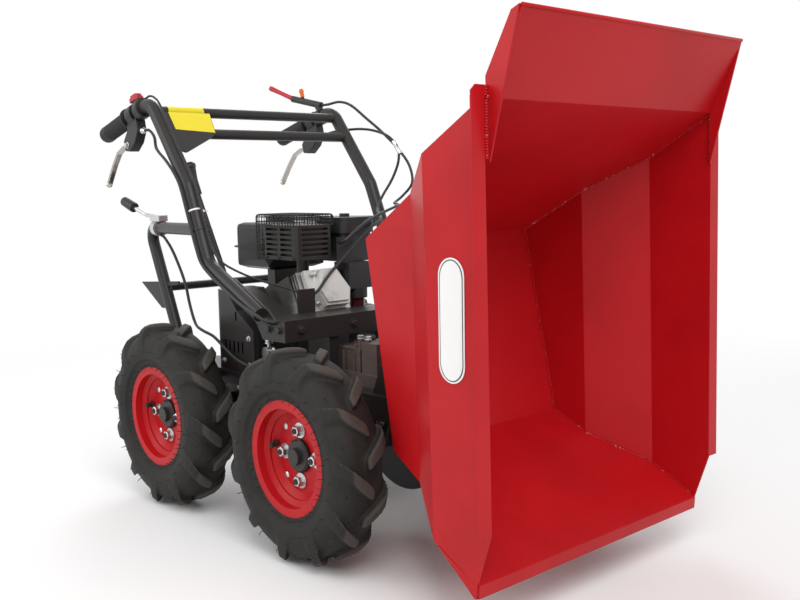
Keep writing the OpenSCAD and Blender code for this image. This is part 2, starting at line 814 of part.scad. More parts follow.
// Gear lever on the right, behind the handle tube, with its waisted grip
module gear_lever() {
    h = norm(lever_top - lever_base);
    color(black) {
        translate(lever_base) cylinder(r = 12, h = 16);
        upright(lever_base, lever_top) rotate([0, 0, 40]) rotate_extrude()
            polygon([[0, 10], [6, 10], [6, h - 76], [10, h - 76], [11, h - 40], [15, h - 16],
                     [17, h - 11], [17, h - 5], [12, h], [0, h]]);
    }
}

// Rear stay from the chassis up and forward to the handle tube
module rear_stay(side) {
    function flip(p) = [p[0], side * p[1], p[2]];
    below = unit(stay_foot - stay_top) * 12;
    color(black) difference() {
        pipe([flip(stay_foot + below), flip(stay_top), flip(stay_end)], stay_r, stay_bend);
        rod(side_point(knee, side), side_point(waist, side), handle_r + gap);
        translate([stay_foot[0], side * stay_foot[1], rail_top + gap - 40])
            cylinder(r = 60, h = 40);
    }
}

module rear_stay_right() {
    rear_stay(-1);
    color(black) side_view(-stay_foot[1] - 3, -stay_foot[1] + 3) polygon(stay_plate);
}
module rear_stay_left() { rear_stay(1); }

// Cross bar between the stays
module rear_crossbar() {
    stay_y = stay_foot[1];
    color(black) difference() {
        translate([cross_x, 0, cross_z]) across(10, 6 - stay_y, stay_y - 6);
        for (s = [-1, 1])
            rod([stay_foot[0], s * stay_y, stay_foot[2]], [stay_top[0], s * stay_y, stay_top[2]],
                stay_r + gap);
    }
}

function right_side(p) = [p[0], -p[1], p[2]];

// Lever clamped beside the bend of the right stay
module stay_lever() {
    bend = right_side(stay_top);
    d = unit(right_side(stay_end) - bend);
    spot = bend + d * 72;
    color(zinc) difference() {
        union() {
            rod(spot - d * 13, spot + d * 13, stay_r + 6);
            translate(spot + [0, 0, 16]) round_box([44, 30, 14], 6);
            pipe([spot + [-10, 0, 26], spot + [-60, 0, 30], spot + [-120, -8, 52]], 5, 30);
        }
        rod(bend, spot + d * 60, stay_r + gap);
    }
    color(black) rod(spot + [-112, -7, 49], spot + [-150, -12, 64], 11);
}

module engine_at() {
    translate([crank_x, 0, crank_z]) children();
}

module in_cylinder() {
    translate([0, cylinder_y, 0]) engine_at() rotate([0, -cylinder_slope, 0]) children();
}

// Crankcase, finned barrel with its shroud, head and exhaust
module engine_block() {
    half = case_w / 2;
    color(zinc) {
        engine_at() across(78, -half, half);
        block([crank_x - 85, -half, engine_z + 12], [crank_x + 85, half, crank_z - 20]);
        block([crank_x - 95, -half - 5, engine_z], [crank_x + 95, half + 5, engine_z + 12]);
        in_cylinder() {
            block([50, -42, -42], [172, 42, 42]);
            for (i = [0 : 7])
                block([78 + i * 10, -fin_half, -54], [81 + i * 10, fin_half, 54]);
            block([158, -fin_half + 6, -50], [172, fin_half - 6, 50]);
            block([70, -fin_half - 3, -46], [122, -fin_half + 1, 57]);
        }
        engine_at() across(12, -half - 45, -half);
        block([crank_x - 80, -40, crank_z + 30],
              [crank_x - 50, 40, tank[2] - tank_low]);
        translate([-60, -45, 500]) cylinder(r = 14, h = muffler_low[2] - 500);
    }
}

// Rocker cover with six corners
function shield(k) = [
    [-43 - k, -22 - k / 2], [-43 - k, 22 + k / 2], [8, 46 + k], [43 + k, 32 + k / 2],
    [43 + k, -32 - k / 2], [8, -46 - k]
];

module valve_cover() {
    color(zinc) in_cylinder() translate([172, 0, 0]) rotate([0, 90, 0]) {
        linear_extrude(6) polygon(shield(4));
        linear_extrude(24) polygon(shield(0));
        linear_extrude(30) polygon(shield(-6));
    }
}

// Half of the pressed tank, its walls leaning in to a rounded end
function tank_profile(a, h, lean, soft) =
    let (right = [[a, 0], [a - lean, h - soft], [a - lean - soft * 0.3, h - soft * 0.3],
                  [a - lean - soft, h]])
    concat(right, [for (i = [3 : -1 : 0]) [-right[i][0], right[i][1]]]);

module tank_half(a, b, h, lean, soft) {
    intersection() {
        linear_extrude(h) round_rect(2 * a, 2 * b, 34);
        side_view(-b, b) polygon(tank_profile(a, h, lean, soft));
        rotate([0, 0, 90]) side_view(-a, a) polygon(tank_profile(b, h, lean, soft));
    }
}

// Fuel tank pressed in two halves that meet at a seam flange
module fuel_tank() {
    color(black) translate(tank) {
        translate([0, 0, -2]) round_box([166, 198, 4], 38);
        tank_half(76, 92, tank_high, 8, 14);
        mirror([0, 0, 1]) tank_half(76, 92, tank_low, 4, 24);
        translate([0, 0, tank_high - 1]) cylinder(r = 30, h = 13);
    }
}

// Louvred guard round the muffler, open at its top edge
module muffler_guard() {
    t = 3;
    size = muffler_high - muffler_low;
    middle = (muffler_low + muffler_high) / 2;
    x = size[0] / 2;
    y = size[1] / 2;
    color(black) translate([middle[0], middle[1], muffler_low[2]]) {
        difference() {
            round_box(size, 10);
            translate([0, 0, -1])
                round_box([size[0] - 2 * t, size[1] - 2 * t, size[2] - t + 1], 7);
            for (c = [-1, 1], i = [0 : 5])
                block([c * 33 - 25, -y - 1, 12 + i * 11], [c * 33 + 25, -y + t + 1, 18 + i * 11]);
            for (i = [0 : 4])
                block([x - t - 1, -38, 14 + i * 12], [x + 1, 38, 20 + i * 12]);
            for (i = [0 : 10])
                block([-x + 17 + i * 11, -y - 1, size[2] - 20],
                      [-x + 23 + i * 11, y + 1, size[2] - 6]);
            for (i = [0 : 6])
                block([-x - 1, -y + 18 + i * 11, size[2] - 20],
                      [x + 1, -y + 24 + i * 11, size[2] - 6]);
        }
        round_box([size[0] - 24, size[1] - 24, 66], 24);
        for (s = [-1, 1])
            block([-12, s > 0 ? y - 14 : -y + 1, 2], [12, s > 0 ? y - 1 : 14 - y, 8]);
    }
}

// Air cleaner with its domed cover and knob
module air_cleaner() {
    color(black) translate(cleaner) {
        round_box([104, 92, 66], 20);
        translate([0, 0, 66]) round_box([118, 104, 26], 26);
        translate([0, 0, 92]) round_box([106, 92, 10], 24);
        translate([0, 0, 102]) cylinder(r = 12, h = 8);
    }
}

// Carburettor with its fuel bowl, cup and the plate that the throttle cable ends on
module carburettor() {
    color(black) {
        block(carb_low, carb_high);
        block([governor_x, -4, carb_high[2] - 16], [governor_x + 3, 44, carb_high[2] + 58]);
        translate([22, 50, 474]) cylinder(r = 22, h = 24);
        translate([22, 50, 450]) cylinder(r = 15, h = 26);
    }
}

// Recoil starter with a ring of air slots
module recoil_starter() {
    half = case_w / 2;
    color(black) engine_at() difference() {
        union() {
            across(92, half + gap, half + 40);
            across(70, half + 40, half + 62);
        }
        for (i = [0 : 11])
            rotate([0, i * 30, 0]) block([30, half + 57, -4], [60, half + 70, 4]);
    }
}

module throttle_cable() { color(black) cable(throttle_route, cable_d); }
module lever_cable_right() { color(black) cable(right_route, cable_d); }
module lever_cable_left() { color(black) cable(left_route, cable_d); }
module stop_cable() { color(black) cable(stop_route, wire_d); }
module stay_cable() { color(black) cable(stay_route, cable_d); }

// Skip, in its own frame

// Side outline of the skip, floor to rim
function skip_outline() = [
    [rear_u, 0], [front_u, floor_rise], [lip_u, lip_h], [rim_front_u, rim_front_h],
    [rim_rear_u, rim_rear_h]
];

// Half section across the skip, floor edge to rim
function skip_section() = [
    [floor_w / 2, 0], [trough_w / 2, trough_h], [step_w / 2, step_h],
    [rim_line_w / 2, rim_rear_h]
];

module in_skip() {
    translate([hinge_x, 0, hinge_z]) rotate([0, tipped_turn, 0])
        translate([0, 0, skip_low]) children();
}

// Prism of the space across the skip between the two sides' faces
module skip_width(inset) {
    s = [for (i = [0 : 3]) shifted(skip_section(), i, inset)];
    top = s[3] + [0, 60];
    bottom = [s[0][0] - 6, -50];
    half = concat([bottom], s, [top]);
    outline = concat(half, [for (i = [len(half) - 1 : -1 : 0]) [-half[i][0], half[i][1]]]);
    translate([700, 0, 0]) rotate([90, 0, -90]) linear_extrude(1400) polygon(outline);
}

// One folded side sheet with its rim flange
module skip_side(side) {
    far = rim_line_w;
    color(red) in_skip() {
        difference() {
            intersection() {
                side_view(-far, far) polygon(skip_outline());
                skip_width(0);
                block([-800, side > 0 ? 0 : -far, -20], [800, side > 0 ? far : 0, 600]);
            }
            skip_width(sheet_t);
        }
        rim_y = rim_line_w / 2 - sheet_t;
        y = side > 0 ? rim_y : -rim_y - flange_w - sheet_t;
        side_view(y, y + flange_w + sheet_t)
            polygon(strip([[rim_rear_u, rim_rear_h], [rim_front_u, rim_front_h]], -sheet_t));
    }
}

module skip_side_right() { skip_side(-1); }
module skip_side_left() { skip_side(1); }

// Front wall, floor, rear wall and spill board, folded from one sheet
module skip_centre() {
    far = rim_line_w;
    route = [
        [lip_u + hem, lip_h - hem * 0.1], [lip_u, lip_h], [front_u, floor_rise], [rear_u, 0],
        [rim_rear_u, rim_rear_h], [board_u, board_h]
    ];
    color(red) in_skip() intersection() {
        side_view(-far, far) polygon(strip(route, -sheet_t));
        union() {
            intersection() {
                skip_width(sheet_t + gap);
                block([rim_rear_u, -far, -50], [lip_u + hem + 1, far, 800]);
            }
            block([board_u - 20, -board_w / 2, 0], [rim_rear_u + 1, board_w / 2, 800]);
        }
    }
}

// Three-cornered plates between the spill board and the rims
module skip_gussets() {
    color(red) in_skip() for (s = [-1, 1]) {
        y = s * (board_w / 2 + 2 * gap + sheet_t / 2);
        side_view(y - sheet_t / 2, y + sheet_t / 2)
            polygon([[board_u, board_h], [board_u + 6, board_h - gusset_back],
                     [rim_rear_u - gusset_foot, rim_rear_h - 2],
                     [rim_rear_u - 1, rim_rear_h - 2],
                     [rim_rear_u - 1, rim_rear_h + sheet_t + 3 * gap],
                     [rim_rear_u + gusset_run, rim_rear_h + 2]]);
    }
}

// Two plates under the floor that hang the skip on its hinge pin
module skip_brackets() {
    inner = rail_gap / 2 - 32;
    color(red) in_skip() difference() {
        for (s = [-1, 1])
            side_view(s * inner - 6, s * inner + 6)
                polygon([[-150, (hinge_run - 150) / floor_run * floor_rise - gap],
                         [100, (hinge_run + 100) / floor_run * floor_rise - gap],
                         [30, -hinge_drop - 22], [-30, -hinge_drop - 22]]);
        translate([0, 0, -hinge_drop]) across(hinge_pin_d / 2 + running, -track, track);
    }
}

translate(place) rail_right();
translate(place) rail_left();
translate(place) cross_members();
translate(place) engine_tray();
translate(place) front_deck();
translate(place) belt_guard();
translate(place) clutch_linkage();
translate(place) gearbox();
translate(place) drive_case();
translate(place) front_axle();
translate(place) rear_axle();
translate(place) hinge_pin();
translate(place) handle_tube_right();
translate(place) handle_tube_left();
translate(place) upper_crossbar();
translate(place) lower_crossbar();
translate(place) control_plate();
translate(place) grip_right();
translate(place) grip_left();
translate(place) lever_right();
translate(place) lever_left();
translate(place) stop_switch();
translate(place) switch_housing();
translate(place) throttle_control();
translate(place) gear_lever();
translate(place) rear_stay_right();
translate(place) rear_stay_left();
translate(place) rear_crossbar();
translate(place) stay_lever();
translate(place) engine_block();
translate(place) valve_cover();
translate(place) fuel_tank();
translate(place) muffler_guard();
translate(place) air_cleaner();
translate(place) carburettor();
translate(place) recoil_starter();
translate(place) throttle_cable();
translate(place) lever_cable_right();
translate(place) lever_cable_left();
translate(place) stop_cable();
translate(place) stay_cable();
translate(place) skip_centre();
translate(place) skip_side_right();
translate(place) skip_side_left();
translate(place) skip_gussets();
translate(place) skip_brackets();
translate(place) tyre_front_right();
translate(place) rim_front_right();
translate(place) hub_front_right();
translate(place) tyre_front_left();
translate(place) rim_front_left();
translate(place) hub_front_left();
translate(place) tyre_rear_right();
translate(place) rim_rear_right();
translate(place) hub_rear_right();
translate(place) tyre_rear_left();
translate(place) rim_rear_left();
translate(place) hub_rear_left();
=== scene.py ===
"""Finishes, fine pieces, light and camera for the walk-behind site dumper."""
import json
import math

import bmesh
import bpy
from mathutils import Matrix, Vector


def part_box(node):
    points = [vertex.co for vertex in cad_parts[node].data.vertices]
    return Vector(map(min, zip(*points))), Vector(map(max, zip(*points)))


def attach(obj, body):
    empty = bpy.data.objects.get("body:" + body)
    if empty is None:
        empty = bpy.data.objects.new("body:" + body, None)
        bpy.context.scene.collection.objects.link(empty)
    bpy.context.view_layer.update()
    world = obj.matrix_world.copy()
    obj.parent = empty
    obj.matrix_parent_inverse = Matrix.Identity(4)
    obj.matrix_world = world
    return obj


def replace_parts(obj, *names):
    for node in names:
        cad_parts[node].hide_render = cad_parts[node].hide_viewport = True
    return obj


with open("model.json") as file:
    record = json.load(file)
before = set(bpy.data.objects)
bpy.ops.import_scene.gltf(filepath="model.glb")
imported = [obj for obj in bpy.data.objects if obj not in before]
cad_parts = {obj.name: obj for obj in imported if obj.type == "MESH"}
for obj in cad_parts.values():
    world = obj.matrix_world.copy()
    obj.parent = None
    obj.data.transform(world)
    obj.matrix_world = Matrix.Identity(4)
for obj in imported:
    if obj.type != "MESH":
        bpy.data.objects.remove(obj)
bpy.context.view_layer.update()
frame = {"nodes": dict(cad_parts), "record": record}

# The photograph's camera
CAMERA_AT = (1.6404, -1.3958, 0.7311)
AZIMUTH, ELEVATION, ROLL = 47.9, 6.7, -1.0
LENS, SENSOR = 44.19, 36.0

# Paint and material colours, linear
RED = (0.49, 0.006, 0.010)
RED_DEEP = (0.41, 0.004, 0.007)
RED_DUST = (0.5, 0.2, 0.17)
# Pale pink of the specks painted on the weld beads as highlights
WELD_PAINTED_GLINT = (0.85, 0.5, 0.46)
BLACK = (0.028, 0.026, 0.025)
BLACK_WORN = (0.075, 0.072, 0.068)
RUBBER = (0.0125, 0.0118, 0.011)
RUBBER_DUST = (0.11, 0.094, 0.08)
GRIP_BLACK = (0.012, 0.012, 0.012)
GRIP_GREY = (0.03, 0.03, 0.03)
ZINC = (0.62, 0.63, 0.64)
ZINC_STAIN = (0.36, 0.36, 0.35)
CHROME = (0.52, 0.49, 0.46)
CHROME_SMEAR = (0.26, 0.23, 0.21)
ALUMINIUM = (0.56, 0.56, 0.54)
GRIME = (0.24, 0.23, 0.21)
CAST_BROWN = (0.112, 0.080, 0.070)
CAST_WORN = (0.24, 0.21, 0.19)
# Dark alloy over the crankcase: painted shade
PAINTED_SHADE_ALLOY = (0.045, 0.042, 0.039)
PLASTIC = (0.014, 0.014, 0.015)
SIGNAL_RED = (0.42, 0.008, 0.02)
PAPER_YELLOW = (0.82, 0.66, 0.02)
BADGE_WHITE = (0.82, 0.82, 0.81)
ORANGE = (0.75, 0.13, 0.01)
DARK_RED = (0.075, 0.010, 0.012)
FLOOR_PALE = (0.92, 0.92, 0.92)
FLOOR_TINT = (0.9, 0.9, 0.9)

# Where a finish begins to change and where it has changed, in metres: dust by the distance from the
# axle, painted shade over the crankcase by the place along the machine, and the floor's fade by the
# distance from the middle
LUG_DUST = (0.2025, 0.2085)
PAINTED_SHADE_ALONG = (-0.165, -0.115)
FLOOR_FADE = (1.3, 3.2)
FLOOR_SIZE = 60.0

# Light: strength of the sky, then each lamp's name, place, size in metres and power in watts
SKY_LEVEL = 0.62
LAMP_AIM = (0.1, 0.0, 0.45)
LAMPS = [
    ("lamp_key", (2.4, -1.2, 3.2), 2.2, 75.0),
    ("lamp_fill", (-1.6, -3.0, 2.2), 2.4, 45.0),
    ("lamp_back", (-2.6, 2.2, 2.8), 2.0, 40.0),
]

# Places of the machine, in millimetres from the middle of the wheelbase, on the ground
MM = 0.001
SIDES = ((-1, "right"), (1, "left"))
CENTRE_X = 127.167
AXLE_X, AXLE_Z = 255.0, 212.0
HANDLE_Y = 266.0
HINGE = (338.0, 384.0)
CRANK = (-130.0, 426.0)
SKIP_TURN = math.radians(88.5)
SKIP_DROP = 47.0

# Turns of a plate that is drawn flat: on edge along the machine, and level with the skip's mouth
UPRIGHT = Matrix(((1, 0, 0), (0, 0, -1), (0, 1, 0))).to_4x4()
SKIP_LEVEL = Matrix.Rotation(SKIP_TURN, 4, "Y")


def spot(x, y, z):
    """Place of a point given in millimetres from the middle of the wheelbase, on the ground."""
    return Vector(((x - CENTRE_X) * MM, y * MM, z * MM))


class Sum:
    """A socket that can stand in sums."""

    def __init__(self, nodes, socket):
        self.nodes = nodes
        self.socket = socket

    def math(self, operation, first, second):
        return self.nodes.node("ShaderNodeMath", {"operation": operation}, {0: first, 1: second})

    def __add__(self, other):
        return self.math("ADD", self, other)

    def __sub__(self, other):
        return self.math("SUBTRACT", self, other)

    def __rsub__(self, other):
        return self.math("SUBTRACT", other, self)

    def __mul__(self, other):
        return self.math("MULTIPLY", self, other)

    __radd__ = __add__
    __rmul__ = __mul__

    def least(self, other):
        return self.math("MINIMUM", self, other)

    def most(self, other):
        return self.math("MAXIMUM", self, other)


class Nodes:
    """A node tree whose sockets take numbers, colours or sums."""

    def __init__(self, tree):
        self.tree = tree

    def feed(self, socket, value):
        if isinstance(value, Sum):
            self.tree.links.new(value.socket, socket)
        elif isinstance(value, tuple) and socket.type == "RGBA":
            socket.default_value = (*value[:3], 1.0)
        else:
            socket.default_value = value

    def node(self, kind, settings=None, sockets=None, out=0):
        made = self.tree.nodes.new(kind)
        for name, value in (settings or {}).items():
            setattr(made, name, value)
        for name, value in (sockets or {}).items():
            self.feed(made.inputs[name], value)
        return Sum(self, made.outputs[out])


class Finish(Nodes):
    """One procedural material, built from nodes."""

    def __init__(self, name, **constants):
        self.material = bpy.data.materials.new(name)
        self.material.use_nodes = True
        super().__init__(self.material.node_tree)
        self.shader = self.tree.nodes["Principled BSDF"]
        self.set(constants)

    def set(self, sockets):
        for name, value in sockets.items():
            self.feed(self.shader.inputs[name.replace("_", " ")], value)

    def place(self):
        return self.node("ShaderNodeTexCoord", out="Object")

    def vector(self, operation, out, *values):
        return self.node("ShaderNodeVectorMath", {"operation": operation},
                         dict(enumerate(values)), out)

    def noise(self, scale, detail=4.0, rough=0.55):
        return self.node("ShaderNodeTexNoise", {}, {
            "Vector": self.place(), "Scale": scale, "Detail": detail, "Roughness": rough})

    def ramp(self, value, low, high):
        return self.node("ShaderNodeMapRange", {"interpolation_type": "SMOOTHSTEP"}, {
            "Value": value, "From Min": low, "From Max": high})

    def mix(self, share, first, second):
        return self.node("ShaderNodeMix", {"data_type": "RGBA"}, {
            "Factor": share, 6: first, 7: second}, out=2)

    def edges(self, radius):
        """Where the surface turns sharply, from 0 to 1."""
        round_normal = self.node("ShaderNodeBevel", {"samples": 6}, {"Radius": radius})
        flat_normal = self.node("ShaderNodeNewGeometry", out="Normal")
        facing = self.vector("DOT_PRODUCT", "Value", round_normal, flat_normal)
        return self.ramp(1.0 - facing, 0.02, 0.2)

    def bump(self, height, distance, strength=1.0, round_edge=0.0):
        sockets = {"Height": height, "Distance": distance, "Strength": strength}
        if round_edge:
            sockets["Normal"] = self.node("ShaderNodeBevel", {"samples": 4}, {"Radius": round_edge})
        self.set({"Normal": self.node("ShaderNodeBump", {}, sockets)})


def red_paint():
    """Glossy powder coat with orange peel and a little dust."""
    paint = Finish("red_paint", Coat_Roughness=0.2, IOR=1.3)
    peel = paint.noise(420.0, 2.0)
    cloud = paint.noise(5.0, 3.0)
    dust = paint.ramp(paint.noise(38.0, 6.0, 0.7), 0.56, 0.8)
    shade = paint.mix(paint.ramp(cloud, 0.3, 0.8), RED, RED_DEEP)
    paint.set({
        "Base Color": paint.mix(dust * 0.02, shade, RED_DUST),
        "Roughness": 0.4 + dust * 0.08 + cloud * 0.05,
        "Coat Weight": 0.06 - dust * 0.05,
    })
    paint.bump(peel, 0.00012, 0.35, 0.0012)
    return paint.material


def weld_paint():
    """Red paint over a weld, with pale specks painted on as highlights."""
    paint = Finish("weld_paint", IOR=1.45, Roughness=0.25)
    # Pale specks at random over the bead: painted highlights
    painted_glints = paint.ramp(paint.noise(170.0, 3.0, 0.7), 0.6, 0.68)
    paint.set({"Base Color": paint.mix(painted_glints * 0.75, RED, WELD_PAINTED_GLINT)})
    paint.bump(paint.noise(300.0, 3.0), 0.0006, 0.6)
    return paint.material


def black_paint():
    """Satin black paint, rubbed pale on its edges."""
    paint = Finish("black_paint", IOR=1.32)
    grain = paint.noise(600.0, 2.0)
    patch = paint.noise(24.0, 5.0, 0.65)
    worn = paint.edges(0.0016) * paint.ramp(patch, 0.45, 0.7)
    dusty = paint.ramp(patch, 0.5, 0.85)
    paint.set({
        "Base Color": paint.mix(worn * 0.55 + dusty * 0.1, BLACK, BLACK_WORN),
        "Roughness": 0.36 + dusty * 0.16 + worn * 0.1,
        "Coat Weight": 0.06 - dusty * 0.05,
    })
    paint.bump(grain, 0.00015, 0.5, 0.0012)
    return paint.material


def tyre_rubber():
    """Charcoal rubber with a grey bloom, scuffed edges and dusty lug tops."""
    rubber = Finish("tyre_rubber", IOR=1.34)
    grain = rubber.noise(900.0, 3.0, 0.6)
    bloom = rubber.ramp(rubber.noise(16.0, 6.0, 0.7), 0.42, 0.74)
    scuffed = rubber.edges(0.007) * rubber.ramp(rubber.noise(60.0, 4.0), 0.3, 0.55)
    reach = []
    for axle in (AXLE_X, -AXLE_X):
        flat = rubber.vector("MULTIPLY_ADD", "Vector", rubber.place(), (1, 0, 1),
                             tuple(-spot(axle, 0, AXLE_Z)))
        reach.append(rubber.vector("LENGTH", "Value", flat))
    top = rubber.ramp(reach[0].least(reach[1]), *LUG_DUST)
    rubber.set({
        "Base Color": rubber.mix(bloom * 0.16 + scuffed * 0.5 + top * 0.4, RUBBER, RUBBER_DUST),
        "Roughness": 0.62 + bloom * 0.16,
    })
    rubber.bump(grain, 0.0004, 0.5, 0.002)
    return rubber.material


def grip_rubber():
    """Soft black rubber with a fine grain."""
    rubber = Finish("grip_rubber", IOR=1.45)
    grain = rubber.noise(1400.0, 2.0)
    rubber.set({"Base Color": rubber.mix(grain * 0.3, GRIP_BLACK, GRIP_GREY),
                "Roughness": 0.55 + grain * 0.15})
    rubber.bump(grain, 0.0003, 0.4)
    return rubber.material


def zinc_steel():
    """Bright zinc plate, faintly mottled."""
    zinc = Finish("zinc_steel", Metallic=1.0)
    spangle = zinc.noise(160.0, 4.0, 0.6)
    stain = zinc.ramp(zinc.noise(30.0, 5.0), 0.5, 0.8)
    zinc.set({"Base Color": zinc.mix(stain * 0.5 + spangle * 0.2, ZINC, ZINC_STAIN),
              "Roughness": 0.26 + spangle * 0.14 + stain * 0.12})
    zinc.bump(spangle, 0.0001, 0.3, 0.0006)
    return zinc.material


def polished_steel():
    """Chrome of the hand levers, a little smeared."""
    chrome = Finish("polished_steel", Metallic=1.0)
    smear = chrome.noise(45.0, 4.0)
    chrome.set({"Base Color": chrome.mix(smear * 0.6, CHROME, CHROME_SMEAR),
                "Roughness": 0.14 + smear * 0.14})
    chrome.bump(chrome.noise(700.0, 2.0), 0.00005, 0.2, 0.0018)
    return chrome.material


def cast_aluminium():
    """Sand-cast light alloy, with shade painted on it darker towards the crankcase."""
    alloy = Finish("cast_aluminium")
    sand = alloy.noise(750.0, 3.0, 0.7)
    grime = alloy.ramp(alloy.noise(20.0, 6.0, 0.65), 0.5, 0.8)
    along = alloy.node("ShaderNodeSeparateXYZ", {}, {0: alloy.place()}, out="X")
    # Darker and less metallic towards the crankcase: painted shade
    painted_shade = 1.0 - alloy.ramp(along + grime * 0.03, *PAINTED_SHADE_ALONG)
    clean = alloy.mix(grime * 0.5, ALUMINIUM, GRIME)
    alloy.set({"Base Color": alloy.mix(painted_shade, clean, PAINTED_SHADE_ALLOY),
               "Metallic": 0.85 - painted_shade * 0.7,
               "Roughness": 0.42 + sand * 0.14 + grime * 0.12})
    alloy.bump(sand, 0.0004, 0.5, 0.001)
    return alloy.material


def cast_metal():
    """Brown-grey painted iron casting."""
    iron = Finish("cast_metal", IOR=1.48)
    sand = iron.noise(480.0, 4.0, 0.7)
    patch = iron.ramp(iron.noise(18.0, 5.0), 0.4, 0.75)
    worn = iron.edges(0.002)
    iron.set({"Base Color": iron.mix(worn * 0.35 + patch * 0.25, CAST_BROWN, CAST_WORN),
              "Roughness": 0.46 + sand * 0.2})
    iron.bump(sand, 0.0006, 0.6, 0.0015)
    return iron.material


def moulded(name, colour, roughness):
    """Moulded plastic with a fine spark-eroded grain."""
    plastic = Finish(name, IOR=1.46)
    grain = plastic.noise(1100.0, 2.0)
    sheen = plastic.noise(30.0, 4.0)
    pale = tuple(min(1.0, part * 1.6 + 0.01) for part in colour)
    plastic.set({"Base Color": plastic.mix(sheen * 0.35, colour, pale),
                 "Roughness": roughness + grain * 0.12})
    plastic.bump(grain, 0.0002, 0.45, 0.0012)
    return plastic.material


FINISHES = {
    "red_paint": red_paint(),
    "black_paint": black_paint(),
    "tyre_rubber": tyre_rubber(),
    "grip_rubber": grip_rubber(),
    "zinc_steel": zinc_steel(),
    "cast_metal": cast_metal(),
    "cast_aluminium": cast_aluminium(),
    "black_plastic": moulded("black_plastic", PLASTIC, 0.42),
    "red_plastic": moulded("red_plastic", SIGNAL_RED, 0.3),
}
LABEL_YELLOW = moulded("label_yellow", PAPER_YELLOW, 0.32)
PLATE_WHITE = moulded("plate_white", BADGE_WHITE, 0.3)
CATCH_ORANGE = moulded("catch_orange", ORANGE, 0.32)
CUP_RED = moulded("cup_red", DARK_RED, 0.18)
WELD_RED = weld_paint()
LEVER_CHROME = polished_steel()


def dress(piece, finish):
    """Gives a piece one finish."""
    piece.data.materials.clear()
    piece.data.materials.append(finish)


for part in frame["record"]["subparts"]:
    dress(frame["nodes"][part["node"]], FINISHES[part["material_slot"]])
for lever in ("lever_right", "lever_left"):
    dress(frame["nodes"][lever], LEVER_CHROME)


def skip_spot(u, y, w):
    """Place of a point of the tipped skip: u towards its lip, w out of its mouth."""
    w += SKIP_DROP
    return spot(HINGE[0] + u * math.cos(SKIP_TURN) + w * math.sin(SKIP_TURN), y,
                HINGE[1] - u * math.sin(SKIP_TURN) + w * math.cos(SKIP_TURN))


def begin(kind, **size):
    """A new primitive, alone in the selection and open for editing."""
    bpy.ops.object.select_all(action="DESELECT")
    getattr(bpy.ops.mesh, f"primitive_{kind}_add")(**size)
    bpy.ops.object.mode_set(mode="EDIT")
    return bpy.context.object


def pick(kind, test):
    """Selects the points, edges or faces whose middle passes the test."""
    bpy.ops.mesh.select_mode(type=kind)
    bpy.ops.mesh.select_all(action="DESELECT")
    mesh = bmesh.from_edit_mesh(bpy.context.object.data)
    for part in {"VERT": mesh.verts, "EDGE": mesh.edges, "FACE": mesh.faces}[kind]:
        corners = [part] if kind == "VERT" else part.verts
        part.select_set(test(sum((corner.co for corner in corners), Vector()) / len(corners)))
    mesh.select_flush_mode()
    bmesh.update_edit_mesh(bpy.context.object.data)


def shift(x=0.0, y=0.0, z=0.0):
    """Moves what is selected, in millimetres."""
    bpy.ops.transform.translate(value=(x * MM, y * MM, z * MM))


def extrude(x=0.0, y=0.0, z=0.0):
    """Extrudes what is selected, in millimetres."""
    bpy.ops.mesh.extrude_region_move(TRANSFORM_OT_translate={"value": (x * MM, y * MM, z * MM)})


def close(smooth=35.0):
    """Merges doubles, turns the faces outwards and leaves edit mode."""
    bpy.ops.mesh.select_mode(type="VERT")
    bpy.ops.mesh.select_all(action="SELECT")
    bpy.ops.mesh.remove_doubles(threshold=2e-6)
    bpy.ops.mesh.normals_make_consistent(inside=False)
    bpy.ops.object.mode_set(mode="OBJECT")
    bpy.ops.object.shade_smooth_by_angle(angle=math.radians(smooth))


def alone(piece):
    """Makes a piece the only one selected."""
    bpy.ops.object.select_all(action="DESELECT")
    piece.select_set(True)
    bpy.context.view_layer.objects.active = piece


def reopen(piece):
    """Opens a piece for editing again."""
    alone(piece)
    bpy.ops.object.mode_set(mode="EDIT")


def modify(piece, kind, **settings):
    """Adds a modifier, sets it and applies it."""
    alone(piece)
    bpy.ops.object.modifier_add(type=kind)
    modifier = piece.modifiers[-1]
    for name, value in settings.items():
        setattr(modifier, name, value)
    bpy.ops.object.modifier_apply(modifier=modifier.name)


def settle(piece, matrix):
    """Moves a piece and puts its place in its mesh."""
    alone(piece)
    piece.matrix_world = matrix
    bpy.ops.object.transform_apply(location=True, rotation=True, scale=True)
    if matrix.determinant() < 0:
        reopen(piece)
        close()
    return piece


def aimed(at, along, roll=0.0):
    """Matrix that carries the origin to a place and Z to a direction."""
    turn = Vector(along).to_track_quat("Z", "Y").to_matrix().to_4x4()
    return Matrix.Translation(at) @ turn @ Matrix.Rotation(roll, 4, "Z")


def copy_of(piece):
    """A copy with its own mesh."""
    alone(piece)
    bpy.ops.object.duplicate(linked=False)
    return bpy.context.object


def discard(piece):
    alone(piece)
    bpy.ops.object.delete()


def joined(pieces):
    """One piece made of several."""
    alone(pieces[0])
    for piece in pieces:
        piece.select_set(True)
    bpy.ops.object.join()
    return bpy.context.object


def repeated(piece, matrices):
    """One piece made of copies of another at each place."""
    copies = [settle(copy_of(piece), matrix) for matrix in matrices]
    discard(piece)
    return joined(copies)


def fit(piece, name, body, slot=None, finish=None):
    """Names a finished piece, gives it its slot's finish or its own, and sets it on a body."""
    piece.name = name
    piece.data.name = name
    dress(piece, finish or FINISHES[slot])
    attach(piece, body)
    return piece


def cut_planes(normal, places):
    """Cuts the open mesh through at each place along a direction."""
    for place in places:
        bpy.ops.mesh.select_all(action="SELECT")
        bpy.ops.mesh.bisect(plane_co=Vector(normal) * place * MM, plane_no=normal)


def block(size, middle):
    """Box of a size about a middle, in millimetres, open for editing."""
    piece = begin("cube", size=1.0)
    bpy.ops.transform.resize(value=[length * MM for length in size])
    shift(*middle)
    return piece


